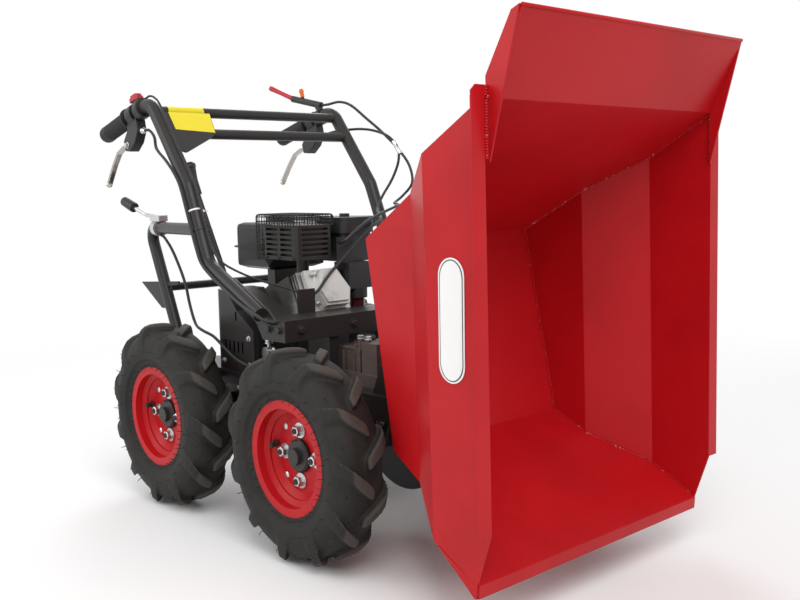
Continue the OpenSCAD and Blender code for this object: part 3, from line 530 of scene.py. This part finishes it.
def drawn(points):
    """Line of edges through points in millimetres, selected and open for editing."""
    piece = begin("plane", size=10 * MM)
    bpy.ops.mesh.merge(type="CENTER")
    shift(*points[0])
    for before, after in zip(points, points[1:]):
        bpy.ops.mesh.extrude_vertices_move(TRANSFORM_OT_translate={
            "value": [(b - a) * MM for a, b in zip(before, after)]})
    bpy.ops.mesh.select_all(action="SELECT")
    return piece


def turned(profile, steps=32):
    """Round piece about Z, spun from a profile of radii and heights in millimetres."""
    piece = drawn([(radius, 0, height) for radius, height in profile])
    bpy.ops.mesh.spin(steps=steps, angle=2 * math.pi, center=(0, 0, 0), axis=(0, 0, 1))
    close()
    return piece


def slab(outline, thickness, round_edge):
    """Plate cut to an outline in millimetres, lying on Z = 0, with soft edges."""
    piece = drawn([(x, y, 0) for x, y in outline])
    bpy.ops.mesh.edge_face_add()
    bpy.ops.mesh.select_mode(type="FACE")
    bpy.ops.mesh.select_all(action="SELECT")
    extrude(z=thickness)
    close()
    modify(piece, "BEVEL", width=round_edge * MM, segments=2, limit_method="ANGLE")
    return piece


def arc_points(middle, radius, first, last, count):
    """Points of an arc between two angles in degrees."""
    angles = [math.radians(first + (last - first) * i / (count - 1)) for i in range(count)]
    return [(middle[0] + radius * math.cos(a), middle[1] + radius * math.sin(a)) for a in angles]


# Wheels

LUGS = 11
TYRE_VOXEL = 2.4
DISC_FACE = 5.0
NUT_CIRCLE, VENT_CIRCLE, VALVE_CIRCLE = 50.0, 70.0, 78.0
VALVE_ANGLE, VALVE_FOOT, VALVE_LEAN = math.radians(172), 9.0, 0.35
FLIP = Matrix.Scale(-1, 4, (0, 1, 0))
# Half section of the carcass: radius and distance from the middle
CARCASS_HALF = [
    (101.4, 36.0), (104.0, 41.0), (116.8, 41.2), (119.0, 44.0), (122.0, 44.4), (124.0, 43.2),
    (127.0, 44.6), (134.0, 51.0), (146.0, 53.2), (158.0, 53.6), (172.0, 50.0), (184.0, 44.0),
    (191.0, 38.0), (196.0, 27.0), (197.6, 14.0), (198.0, 0.0),
]
# Bar across half the tread: distance from the middle, lag in degrees, top and foot radius,
# half width of the top and of the foot
TREAD_BAR = [
    (-7.0, -2.2, 207.0, 184.0, 8.5, 14.0),
    (-3.0, -1.2, 211.0, 184.0, 10.5, 15.5),
    (6.0, 1.0, 212.0, 184.0, 12.0, 16.5),
    (17.0, 3.6, 212.0, 183.0, 12.5, 17.0),
    (29.0, 6.6, 211.2, 180.0, 12.5, 17.5),
    (39.0, 9.4, 207.6, 172.0, 12.0, 18.0),
    (46.0, 11.6, 199.0, 164.0, 12.0, 19.0),
    (51.0, 13.4, 186.0, 156.0, 13.5, 20.0),
    (54.5, 15.2, 168.0, 148.0, 15.0, 20.0),
]
# Moulding hairs: radius, distance from the middle, lean outwards from the axle and to the side
HAIRS = 96
HAIR_ROWS = [
    (120.0, 44.0, -0.75, 0.65), (187.0, 42.0, 0.5, 0.85), (121.0, 44.2, -0.5, 0.85),
    (150.0, 53.2, 0.15, 1.0),
]


def tread_bar():
    """One bar of the tread at the top of the tyre, bent over the shoulder ring by ring."""
    first, last = TREAD_BAR[0][0], TREAD_BAR[-1][0]
    top, foot, half_start = 212.0, 182.0, 10.0
    bar = block((2 * half_start, last - first, top - foot),
                (0, (first + last) / 2, (top + foot) / 2))
    cut_planes((0, 1, 0), [ring[0] for ring in TREAD_BAR[1:-1]])
    for y, lag, ring_top, ring_foot, top_half, foot_half in TREAD_BAR:
        for level, radius, half in ((top, ring_top, top_half), (foot, ring_foot, foot_half)):
            pick("VERT", lambda p: abs(p.y - y * MM) < 1e-5 and abs(p.z - level * MM) < 1e-5)
            bpy.ops.transform.resize(value=(half / half_start, 1, 1))
            shift(z=radius - level)
        pick("VERT", lambda p: abs(p.y - y * MM) < 1e-5)
        bpy.ops.transform.rotate(value=math.radians(lag), orient_axis="Y",
                                 center_override=(0, 0, 0))
    close()
    return bar


def tyre_blank():
    """Tyre about Y with its outside towards +Y: carcass and bars fused into one moulding."""
    profile = CARCASS_HALF + [(r, -y) for r, y in reversed(CARCASS_HALF[:-1])]
    carcass = settle(turned(profile + profile[:1], 96), aimed((0, 0, 0), (0, 1, 0)))
    bar = tread_bar()
    step = 2 * math.pi / LUGS
    places = []
    for i in range(LUGS):
        places.append(Matrix.Rotation(i * step, 4, "Y"))
        places.append(Matrix.Rotation((i + 0.5) * step, 4, "Y") @ FLIP)
    tyre = joined([carcass, repeated(bar, places)])
    modify(tyre, "REMESH", mode="VOXEL", voxel_size=TYRE_VOXEL * MM)
    modify(tyre, "SMOOTH", factor=0.5, iterations=2)
    alone(tyre)
    bpy.ops.object.shade_smooth()
    return tyre


def whiskers():
    """Thin moulding hairs on the outer wall and shoulder of a tyre."""
    hair = begin("cone", vertices=5, radius1=1.0 * MM, radius2=0.8 * MM, depth=8 * MM)
    pick("FACE", lambda p: p.z > 3.9 * MM)
    extrude(1.2, 0, 4)
    extrude(2.6, 0, 3)
    bpy.ops.transform.resize(value=(0.5, 0.5, 0.5))
    close()
    places = []
    for i in range(HAIRS):
        turn = math.radians(i * 360 / HAIRS + 1.6 * math.sin(i * 2.3))
        radius, y, out, side = HAIR_ROWS[i % len(HAIR_ROWS)]
        radial = Vector((math.cos(turn), 0, math.sin(turn)))
        at = radial * radius * MM + Vector((0, y * MM, 0))
        places.append(aimed(at, radial * out + Vector((0, side, 0)), 1.7 * i))
    return repeated(hair, places)


def wheel_nut():
    """Hexagon nut with a chamfered crown."""
    nut = begin("cylinder", vertices=6, radius=10.6 * MM, depth=11 * MM)
    shift(z=8.0)
    pick("FACE", lambda p: p.z > 13 * MM)
    bpy.ops.mesh.inset(thickness=1.3 * MM)
    shift(z=1.4)
    close(20.0)
    washer = turned([(6, 0), (15.5, 0), (16, 0.8), (15.5, 2.4), (10, 2.6), (6, 2.6), (6, 0)])
    return joined([nut, washer])


def wheel_stud():
    """End of a stud with a dimpled face."""
    return turned([(0, 15.5), (3.2, 15.5), (4.2, 17), (5.6, 17), (6, 16.2), (6, 6), (0, 6)], 20)


def valve_stem():
    """Rubber valve with its cap, standing on Z = 0."""
    return turned([(0, 0), (7.5, 0), (7.5, 2), (5.6, 4), (4.6, 9), (4.6, 11), (5.2, 11.6),
                   (5.2, 19), (4.4, 20.4), (0, 20.6)], 18)


def vent_plug():
    """Bright domed plug in a vent of the disc."""
    return turned([(0, 2.4), (3.4, 2.1), (6, 1.2), (7.2, 0.2), (7.2, -2), (0, -2)], 24)


def on_disc(radius, angle, roll=0.0):
    """Place on the outer face of a wheel's disc."""
    at = Vector((radius * math.cos(angle), DISC_FACE, radius * math.sin(angle))) * MM
    return aimed(at, (0, 1, 0), roll)


def dress_wheels():
    """Tyre, hairs, nuts, studs, plugs and valve of each wheel."""
    quarters = [i * math.pi / 2 for i in range(4)]
    on_nuts = [on_disc(NUT_CIRCLE, angle, angle) for angle in quarters]
    on_vents = [on_disc(VENT_CIRCLE, angle + math.pi / 4) for angle in quarters]
    outwards = Vector((math.cos(VALVE_ANGLE), 0, math.sin(VALVE_ANGLE)))
    at_valve = (outwards * VALVE_CIRCLE + Vector((0, VALVE_FOOT, 0))) * MM
    tyre = tyre_blank()
    extras = [
        (whiskers(), "tyre_hairs", "tyre_rubber"),
        (repeated(wheel_nut(), on_nuts), "wheel_nuts", "zinc_steel"),
        (repeated(wheel_stud(), on_nuts), "wheel_studs", "black_paint"),
        (repeated(vent_plug(), on_vents), "vent_plugs", "zinc_steel"),
        (settle(valve_stem(), aimed(at_valve, Vector((0, 1, 0)) - outwards * VALVE_LEAN)),
         "valve_stem", "grip_rubber"),
    ]
    for end in ("front", "rear"):
        for side, hand in SIDES:
            wheel = f"{end}_{hand}"
            body = f"wheel_{wheel}"
            low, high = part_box(f"rim_{wheel}")
            at = Matrix.Translation((low + high) / 2) @ (FLIP if side < 0 else Matrix())
            made = fit(settle(copy_of(tyre), at), f"lug_tyre_{wheel}", body, "tyre_rubber")
            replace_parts(made, f"tyre_{wheel}")
            for piece, name, slot in extras:
                fit(settle(copy_of(piece), at), f"{name}_{wheel}", body, slot)
    discard(tyre)
    for piece, _, _ in extras:
        discard(piece)


# Skip

WELD_RADIUS, WELD_PITCH = 3.2, 4.2
WELD_IN, WELD_UP = 4.0, 3.5
SIDE_OUT, SIDE_THICK = 317.6, 3.0
# Seams of the side sheets: name, how far the bead stands off along the skip, corners
SEAMS = [
    ("rear", 2, [(-248, 224, 0), (-326, 240, 142), (-388, 316, 254), (-460, 318, 386)]),
    ("floor", 0, [(-248, 224, 0), (140, 231.4, 66)]),
    ("lip", -2, [(140, 231.4, 66), (182, 240, 142), (243, 316, 254), (294, 317, 345)]),
]


def weld_bead(points):
    """Rippled weld along a line of points."""
    beads = []
    for start, end in zip(points, points[1:]):
        run = end - start
        ripple = begin("uv_sphere", segments=8, ring_count=5, radius=WELD_RADIUS * MM)
        bpy.ops.transform.resize(value=(1.0, 1.0, 0.75))
        close()
        modify(ripple, "ARRAY", count=max(2, int(run.length / (WELD_PITCH * MM))),
               use_relative_offset=False, use_constant_offset=True,
               constant_offset_displace=(0, 0, WELD_PITCH * MM))
        beads.append(settle(ripple, aimed(start, run)))
    return joined(beads)


def skip_welds():
    """Welds where the side sheets meet the centre sheet, and along the gussets' feet."""
    for side, hand in SIDES:
        for name, off, line in SEAMS:
            points = [skip_spot(u + off, side * (y - WELD_IN), w + WELD_UP) for u, y, w in line]
            fit(weld_bead(points), f"weld_{name}_{hand}", "skip", "red_paint", WELD_RED)
        foot = [skip_spot(u, side * 311.5, w) for u, w in ((-478, 391.5), (-366, 390))]
        fit(weld_bead(foot), f"weld_gusset_{hand}", "skip", "red_paint", WELD_RED)


def lip_ends():
    """Corners of the side sheets that close the ends of the pouring lip's hem."""
    outline = [(249, 264), (316.6, 345), (316.4, 348.4), (296, 350.4), (247.6, 264)]
    for side, hand in SIDES:
        at = skip_spot(0, SIDE_OUT if side > 0 else SIDE_THICK - SIDE_OUT, 0)
        corner = slab(outline, SIDE_THICK, 0.4)
        corner = settle(corner, Matrix.Translation(at) @ SKIP_LEVEL @ UPRIGHT)
        fit(corner, f"lip_end_{hand}", "skip", "red_paint")


def skip_edges():
    """Rolled top edge of the spill board and folded upper ends of the rim flanges."""
    half = 305.6
    hem = turned([(0, -half), (2.6, -half), (3.2, 1 - half), (3.2, half - 1), (2.6, half),
                  (0, half)], 16)
    hem = settle(hem, aimed(skip_spot(-585, 0, 459.2), (0, 1, 0)))
    fit(hem, "board_hem", "skip", "red_paint")
    outline = [(-462.6, 342.8), (-471, 342.8), (-480, 333), (-480, 309.6), (-462.6, 309.6)]
    at = Matrix.Translation(skip_spot(0, 0, 388.2)) @ SKIP_LEVEL
    for side, hand in SIDES:
        end = settle(slab([(u, side * y) for u, y in outline], 2.8, 0.4), at)
        fit(end, f"flange_end_{hand}", "skip", "red_paint")


def side_badge():
    """Blank white plate with round ends and a fine dark border, on the skip's right side."""
    half, run = 28.5, 71.0
    outline = arc_points((0, run), half, 0, 180, 17) + arc_points((0, -run), half, 180, 360, 17)
    at = Matrix.Translation(spot(694, -SIDE_OUT, 518)) @ UPRIGHT
    for name, share, thickness, round_edge, finish in (
            ("badge_plate", 0.0, 1.2, 0.4, PLATE_WHITE),
            ("badge_border", 0.1, 1.5, 0.2, FINISHES["black_plastic"]),
            ("badge_face", 0.16, 1.8, 0.2, PLATE_WHITE)):
        inner = [(x * (1 - share), y - math.copysign(half * share, y)) for x, y in outline]
        fit(settle(slab(inner, thickness, round_edge), at), name, "skip", finish=finish)


# Handles

# Directions: up the label plate, out of its face, back along a grip, and down a handle tube
BAR_UP = Vector((-152, 0, 195)).normalized()
BAR_FRONT = Vector((195, 0, 152)).normalized()
GRIP_AXIS = Vector((-235, 0, -64)).normalized()
TUBE_DOWN = spot(-105, 0, 563) - spot(-178, 0, 735)
GRIP_END_X, GRIP_END_Z, GRIP_LENGTH = -565, 866, 131
RIBS, RIB_PITCH = 15, 6.6
PERCH_HALF = 12.7


def handle_labels():
    """Label plate with a round corner, blank yellow film on it and round the upper bar."""
    low = spot(-273, -248, 857)
    turn = Matrix(((0, BAR_UP.x, BAR_FRONT.x), (1, 0, 0), (0, BAR_UP.z, BAR_FRONT.z))).to_4x4()
    plate = slab([(-8, 52), (-8, -58), *arc_points((4, -57), 11, 190, 300, 7), (86, -25),
                  (106, -9), (113.5, 51)], 3, 0.5)
    plate = settle(plate, Matrix.Translation(low + BAR_FRONT * 12.2 * MM) @ turn)
    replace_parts(fit(plate, "label_plate", "chassis", "black_paint"), "control_plate")
    film = slab([(3, 51.4), (3, -1), (104.4, -8.6), (112.4, 50.4)], 0.5, 0.15)
    film = settle(film, Matrix.Translation(low + BAR_FRONT * 15.2 * MM) @ turn)
    fit(film, "label_film", "chassis", finish=LABEL_YELLOW)
    sleeve = turned([(12.1, 0), (12.7, 0.2), (12.7, 94), (12.1, 94.2), (12.1, 0)])
    sleeve = settle(sleeve, aimed(spot(-314, -238, 909), (0, 1, 0)))
    fit(sleeve, "label_sleeve", "chassis", finish=LABEL_YELLOW)


def hand_grips():
    """Ribbed rubber grips with a collar and a round end."""
    ribs = [(16.4, 0), (23.5, 0), (25, 1.5), (25, 4.5), (23.5, 6), (20, 7)]
    for low in (i * RIB_PITCH for i in range(RIBS)):
        ribs += [(19.2, 9 + low), (19.2, 11.4 + low), (20.3, 12.4 + low), (20.3, 14.2 + low)]
    ribs += [(19.6, 110), (20.6, 116), (20.8, 124), (19.6, 130), (15, 135.4), (7, 137.2),
             (0, 137.4)]
    grip = turned(ribs, 40)
    for side, hand in SIDES:
        start = spot(GRIP_END_X, side * HANDLE_Y, GRIP_END_Z) - GRIP_AXIS * GRIP_LENGTH * MM
        made = settle(copy_of(grip), aimed(start, GRIP_AXIS))
        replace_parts(fit(made, f"ribbed_grip_{hand}", "chassis", "grip_rubber"), f"grip_{hand}")
    discard(grip)


def lever_perches():
    """Black moulded perch and clamp, pivot bolt and knurled adjuster of each hand lever."""
    outline = [(-19, -11), (23, -5), (31.2, -40), (15, -67), (-12, -87.2), (-35, -85.2),
               (-41.2, -62), (-21, -38)]
    perch = slab(outline, 2 * PERCH_HALF, 2.0)
    knurl = turned([(2, 0), (6.4, 0), (7.4, 1.4), (7.4, 9), (6.4, 10.4), (5.4, 11), (5.4, 15),
                    (4, 18), (2, 18)], 12)
    bolt = hex_bolt(5.5, 4.5, 8.0)
    collar = turned([(16.4, -13), (22.4, -13), (23.2, -12), (23.2, 12), (22.4, 13), (16.4, 13),
                     (16.4, -13)])
    for side, hand in SIDES:
        clamp = spot(-411.6, side * HANDLE_Y, 907.8)
        stand = Matrix.Translation(clamp + Vector((0, PERCH_HALF, 0)) * MM) @ UPRIGHT
        pivot = aimed(clamp + Vector((-22, side * PERCH_HALF, -72)) * MM, (0, side, 0))
        screw = aimed(clamp + Vector((28.5, 0, -40)) * MM, (1, 0, 0))
        for piece, name, at, slot in (
                (perch, "lever_perch", stand, "black_plastic"),
                (collar, "lever_clamp", aimed(clamp, GRIP_AXIS), "black_plastic"),
                (knurl, "adjuster", screw, "zinc_steel"),
                (bolt, "lever_pivot", pivot, "zinc_steel")):
            fit(settle(copy_of(piece), at), f"{name}_{hand}", "chassis", slot)
    for piece in (perch, collar, knurl, bolt):
        discard(piece)


def throttle_lever():
    """Red sleeve on the throttle lever and the orange tip of its catch."""
    start, end = spot(-474, 249, 970.5), spot(-556, 228, 1006)
    length = (end - start).length / MM
    sleeve = turned([
        (5.1, 0), (6.4, 0), (6.6, 2), (6, length * 0.5), (6.8, length - 12), (7.6, length - 6),
        (6.6, length + 1), (3.5, length + 3.4), (0, length + 4)], 20)
    fit(settle(sleeve, aimed(start, end - start)), "throttle_sleeve", "chassis", "red_plastic")
    tip = turned([(4.2, -12), (5.2, -12), (5.6, -10), (5.4, 0), (6.4, 2), (6.6, 7), (5, 10.5),
                  (0, 11.4)], 18)
    low, high = spot(-440.5, 254.8, 962.9), spot(-448.6, 254.1, 991.8)
    tip = settle(tip, aimed(low + (high - low) * 0.8, high - low))
    fit(tip, "throttle_catch", "chassis", finish=CATCH_ORANGE)


def cable_tie(at, along, finish, name):
    """Narrow strap round the handle tube and its cables, with its small head."""
    band = turned([(16.3, -2), (17.3, -2), (17.6, 0), (17.3, 2), (16.3, 2), (16.3, -2)], 36)
    reopen(band)
    pick("VERT", lambda p: p.y < -1 * MM)
    bpy.ops.transform.resize(value=(1, 1.55, 1), center_override=(0, 0, 0))
    close()
    head = block((7, 5, 6), (19, 0, 0))
    pick("FACE", lambda p: p.x > 21 * MM)
    extrude(x=1.5)
    bpy.ops.transform.resize(value=(1, 0.7, 0.7))
    extrude()
    bpy.ops.transform.resize(value=(1, 0.4, 0.3))
    extrude(x=9)
    close()
    fit(settle(joined([band, head]), aimed(at, along)), name, "chassis", finish=finish)


def ferrule(at, along, name):
    """Crimped end sleeve of a cable."""
    sleeve = turned([(3.6, 0), (5, 0), (5.4, 1), (5.4, 12), (4.8, 13), (4.8, 17), (5.4, 18),
                     (5.4, 38), (4.4, 41), (3.6, 41)], 18)
    fit(settle(sleeve, aimed(at, along)), name, "chassis", "zinc_steel")


# Bolts and engine

# Corner radius of a hexagon over half its width across flats
HEX_CORNER = 1.1547


def hex_bolt(flat, head, washer):
    """Bolt head with a domed crown on a round washer, standing on Z = 0."""
    bolt = begin("cylinder", vertices=6, radius=flat * HEX_CORNER * MM, depth=head * MM)
    shift(z=head / 2 + 1.2)
    pick("FACE", lambda p: p.z > (head + 1.1) * MM)
    bpy.ops.mesh.inset(thickness=flat * 0.16 * MM)
    shift(z=head * 0.14)
    close(20.0)
    ring = turned([(flat * 0.5, 0), (washer, 0), (washer, 1.0), (washer - 0.5, 1.4),
                   (flat * 0.5, 1.4), (flat * 0.5, 0)], 24)
    return joined([bolt, ring])


BOLT_ROWS = [
    # name, slot, half width across flats, head, washer, direction, places
    ("gearbox_bolts", "zinc_steel", 6.5, 6.0, 8.0, (0, 0, 1),
     [(187, -82, 409), (211, -82, 409), (187, 82, 409), (211, 82, 409)]),
    ("guard_bolts", "zinc_steel", 4.5, 3.6, 7.0, (0, -1, 0),
     [(-152, -206, 338), (-50, -206, 338), (-50, -206, 398)]),
    ("deck_bolts_right", "black_paint", 6.0, 5.0, 10.0, (0, -1, 0),
     [(96, -250, 440), (132, -250, 440)]),
    ("deck_bolts_left", "black_paint", 6.0, 5.0, 10.0, (0, 1, 0),
     [(96, 250, 440), (132, 250, 440)]),
    ("deck_bolts_front", "black_paint", 6.0, 5.0, 10.0, (1, 0, 0),
     [(150, -210, 438), (150, -70, 438), (150, 70, 438), (150, 210, 438)]),
    ("engine_bolts", "zinc_steel", 6.5, 6.0, 11.0, (0, 0, 1),
     [(-215, -73, 332), (-45, -73, 332), (-215, 73, 332), (-45, 73, 332)]),
    ("muffler_screws", "black_paint", 2.6, 2.4, 4.2, (0, -1, 0),
     [(-119, -104, 570.6), (-68.5, -104, 570.6), (-13, -104, 570.6)]),
    ("starter_bolts", "zinc_steel", 4.5, 4.0, 8.0, (0, 1, 0),
     [(x, 115, z) for x, z in arc_points(CRANK, 82, 45, 315, 4)]),
    ("plate_bolts_right", "zinc_steel", 7.0, 6.0, 11.0, (0, -1, 0),
     [(x + dx, -125, 256) for x in (-AXLE_X, AXLE_X) for dx in (-42, 42)]),
    ("plate_bolts_left", "zinc_steel", 7.0, 6.0, 11.0, (0, 1, 0),
     [(x + dx, 125, 256) for x in (-AXLE_X, AXLE_X) for dx in (-42, 42)]),
]


def bolt_rows():
    """Bolts and screws of the chassis, one piece a row."""
    for name, slot, flat, head, washer, out, places in BOLT_ROWS:
        matrices = [aimed(spot(*p), out, 0.4 * i) for i, p in enumerate(places)]
        fit(repeated(hex_bolt(flat, head, washer), matrices), name, "chassis", slot)


def valve_cover_bolts():
    """Four small bolts on the flange of the valve cover."""
    slope, reach = math.radians(25), 178
    out = Vector((math.cos(slope), 0, math.sin(slope)))
    up = Vector((-math.sin(slope), 0, math.cos(slope)))
    base = spot(CRANK[0], -42, CRANK[1]) + out * reach * MM
    places = [aimed(base + up * z * MM + Vector((0, y * MM, 0)), out)
              for y, z in ((-31, 38), (31, 38), (-39, -30), (39, -30))]
    fit(repeated(hex_bolt(3.6, 3.6, 5.4), places), "valve_cover_bolts", "chassis", "zinc_steel")


def linkage_spring():
    """Coil spring round the clutch rod."""
    coil = begin("circle", vertices=8, radius=1.3 * MM)
    bpy.ops.transform.rotate(value=math.pi / 2, orient_axis="X", center_override=(0, 0, 0))
    shift(8.4)
    bpy.ops.object.mode_set(mode="OBJECT")
    modify(coil, "SCREW", axis="Z", angle=2 * math.pi, screw_offset=3.4 * MM, iterations=10,
           steps=18, render_steps=18, use_merge_vertices=False)
    reopen(coil)
    close()
    low, high = spot(-12, -180, 371), spot(-6, -180, 438)
    coil = settle(coil, aimed(low + (high - low) * 0.26, high - low))
    fit(coil, "clutch_spring", "chassis", "zinc_steel")


def louvred_box():
    """Muffler box with rows of louvres in its right and front faces."""
    wide, deep, tall, middle_x, middle_y = 131, 100, 78, 9.5, -4
    right, front = middle_y - deep / 2, middle_x + wide / 2
    across, along, inset = ((-44, 2), (11, 56)), (-40, 34), 9
    rows = [(9 + i * 11.4, 14.6 + i * 11.4) for i in range(6)]
    box = block((wide, deep, tall), (middle_x, middle_y, tall / 2))
    pick("EDGE", lambda p: abs(p.z - tall / 2 * MM) < 1 * MM)
    bpy.ops.mesh.bevel(offset=9 * MM, segments=4, affect="EDGES")
    cut_planes((1, 0, 0), [x for span in across for x in span])
    cut_planes((0, 1, 0), along)
    cut_planes((0, 0, 1), [level for row in rows for level in row])

    def within(place, *spans):
        return any(low * MM < place < high * MM for low, high in spans)

    pick("FACE", lambda p: p.y < (right + 0.1) * MM and within(p.z, *rows) and within(p.x, *across))
    extrude(y=inset)
    pick("FACE", lambda p: p.x > (front - 0.1) * MM and within(p.z, *rows) and within(p.y, along))
    extrude(x=-inset)
    close()
    return box


def wire_cage():
    """Cage of wires over the muffler box: its top, its upper rim and its rear face."""
    wide, deep, tall, middle_x = 164, 108, 102, -7
    rim, rear = 77, -72
    cage = block((wide, deep, tall), (middle_x, 0, tall / 2))
    pick("EDGE", lambda p: abs(p.z - tall / 2 * MM) < 1 * MM)
    bpy.ops.mesh.bevel(offset=9 * MM, segments=2, affect="EDGES")
    pick("FACE", lambda p: p.z > (tall - 0.1) * MM)
    bpy.ops.mesh.bevel(offset=6 * MM, segments=2, affect="EDGES")
    cut_planes((1, 0, 0), [-80 + i * 10.2 for i in range(15)])
    cut_planes((0, 1, 0), [-44 + i * 11 for i in range(9)])
    cut_planes((0, 0, 1), [8 + i * 11.6 for i in range(7)] + [86])
    pick("FACE", lambda p: p.z < rim * MM and (p.x > rear * MM or p.z < 1 * MM))
    bpy.ops.mesh.delete(type="FACE")
    bpy.ops.mesh.select_all(action="SELECT")
    bpy.ops.mesh.remove_doubles(threshold=1.6 * MM)
    bpy.ops.object.mode_set(mode="OBJECT")
    modify(cage, "WIREFRAME", thickness=2.4 * MM, use_even_offset=False)
    reopen(cage)
    close()
    return cage


def muffler_cage():
    """Louvred muffler box under an open wire cage, in place of the plain guard."""
    guard = joined([louvred_box(), wire_cage()])
    guard = settle(guard, Matrix.Translation(spot(-75, -50, 566)))
    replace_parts(fit(guard, "wire_guard", "chassis", "black_paint"), "muffler_guard")


def engine_trim():
    """Fuel cap, breather cap, fuel cup, hinge pin collars and the stay lever's knob."""
    cap = begin("cylinder", vertices=48, radius=31 * MM, depth=13 * MM)
    shift(z=7.0)
    pick("FACE", lambda p: math.hypot(p.x, p.y) > 30 * MM
         and round(math.degrees(math.atan2(p.y, p.x)) / 7.5 - 0.5) % 2 == 0)
    bpy.ops.transform.resize(value=(1.035, 1.035, 1))
    pick("FACE", lambda p: p.z > 13 * MM)
    bpy.ops.mesh.inset(thickness=3 * MM)
    shift(z=2.2)
    bpy.ops.mesh.inset(thickness=14 * MM)
    extrude(z=-2)
    close(30.0)
    cap = settle(cap, Matrix.Translation(spot(-243, 24, 644)))
    fit(cap, "fuel_cap", "chassis", "black_plastic")
    breather = turned([(14.2, -0.5), (20.4, -0.5), (21, 1), (21, 9), (19.6, 12), (12, 13.6),
                       (0, 14)], 24)
    breather = settle(breather, Matrix.Translation(spot(176, -58, 400)))
    fit(breather, "breather_cap", "chassis", "black_plastic")
    cup = turned([(0, 447), (8, 447), (9, 449), (14, 450.5), (15.6, 454), (15.8, 472), (17, 474),
                  (17, 476.4), (0, 476.4)], 28)
    fit(settle(cup, Matrix.Translation(spot(22, 50, 0))), "fuel_cup", "chassis", finish=CUP_RED)
    ends = turned([(10.2, 0), (17, 0), (18, 1), (18, 5), (17, 6), (10.2, 6), (10.2, 0)], 28)
    places = [aimed(spot(HINGE[0], side * 131, HINGE[1]), (0, side, 0)) for side in (-1, 1)]
    fit(repeated(ends, places), "pin_collars", "chassis", "zinc_steel")
    knob = turned([(6, -3), (12.4, -3), (13, 2), (12.6, 22), (12.2, 36), (11.8, 42), (9, 45.6),
                   (0, 46.6)], 24)
    low, high = spot(-521, -225, 686), spot(-559, -230, 701)
    fit(settle(knob, aimed(low, high - low)), "stay_knob", "chassis", "black_plastic")


dress_wheels()
skip_welds()
lip_ends()
skip_edges()
side_badge()
handle_labels()
hand_grips()
lever_perches()
throttle_lever()
cable_tie(spot(-154.6, -HANDLE_Y, 680), TUBE_DOWN, PLATE_WHITE, "cable_tie_pale")
cable_tie(spot(-136.8, -HANDLE_Y, 638), TUBE_DOWN, FINISHES["black_plastic"], "cable_tie_dark")
ferrule(spot(-106, 284, 841), spot(-88, 0, 817) - spot(-106, 0, 841), "cable_ferrule")
bolt_rows()
valve_cover_bolts()
linkage_spring()
muffler_cage()
engine_trim()


# Light and camera

def studio():
    """Pale floor, soft sky and three soft lamps."""
    bpy.ops.object.select_all(action="DESELECT")
    bpy.ops.mesh.primitive_plane_add(size=FLOOR_SIZE)
    floor = bpy.context.object
    floor.name = "studio_floor"
    pale = Finish("floor_pale", Roughness=0.9)
    reach = pale.vector("LENGTH", "Value", pale.place())
    pale.set({"Base Color": pale.mix(pale.noise(0.4, 2.0) * 0.1, FLOOR_PALE, FLOOR_TINT),
              "Alpha": 1.0 - pale.ramp(reach, *FLOOR_FADE)})
    dress(floor, pale.material)
    world = bpy.data.worlds.new("studio_sky")
    bpy.context.scene.world = world
    world.use_nodes = True
    sky = Nodes(world.node_tree)
    seen, through, mirrored = [sky.node("ShaderNodeLightPath", out=f"Is {kind} Ray")
                               for kind in ("Camera", "Transmission", "Glossy")]
    level = sky.node("ShaderNodeMapRange", {}, {
        "Value": seen.most(through).most(mirrored), "To Min": SKY_LEVEL, "To Max": 1.0})
    backdrop = world.node_tree.nodes["Background"]
    sky.feed(backdrop.inputs["Color"], (1.0, 1.0, 1.0))
    sky.feed(backdrop.inputs["Strength"], level)
    for name, at, size, power in LAMPS:
        lamp = bpy.data.lights.new(name, "AREA")
        lamp.size = size
        lamp.energy = power
        lamp_object = bpy.data.objects.new(name, lamp)
        bpy.context.scene.collection.objects.link(lamp_object)
        lamp_object.location = at
        aim = Vector(LAMP_AIM) - Vector(at)
        lamp_object.rotation_euler = aim.to_track_quat("-Z", "Y").to_euler()


def place_camera():
    """Camera that stands where the photograph was taken."""
    lens = bpy.data.cameras.new("photo_camera")
    lens.lens = LENS
    lens.sensor_width = SENSOR
    camera = bpy.data.objects.new("photo_camera", lens)
    bpy.context.scene.collection.objects.link(camera)
    camera.matrix_world = (Matrix.Translation(CAMERA_AT)
                           @ Matrix.Rotation(math.radians(AZIMUTH), 4, "Z")
                           @ Matrix.Rotation(math.radians(90.0 - ELEVATION), 4, "X")
                           @ Matrix.Rotation(math.radians(ROLL), 4, "Z"))
    bpy.context.scene.camera = camera


studio()
place_camera()
bpy.context.scene.view_settings.view_transform = "Standard"
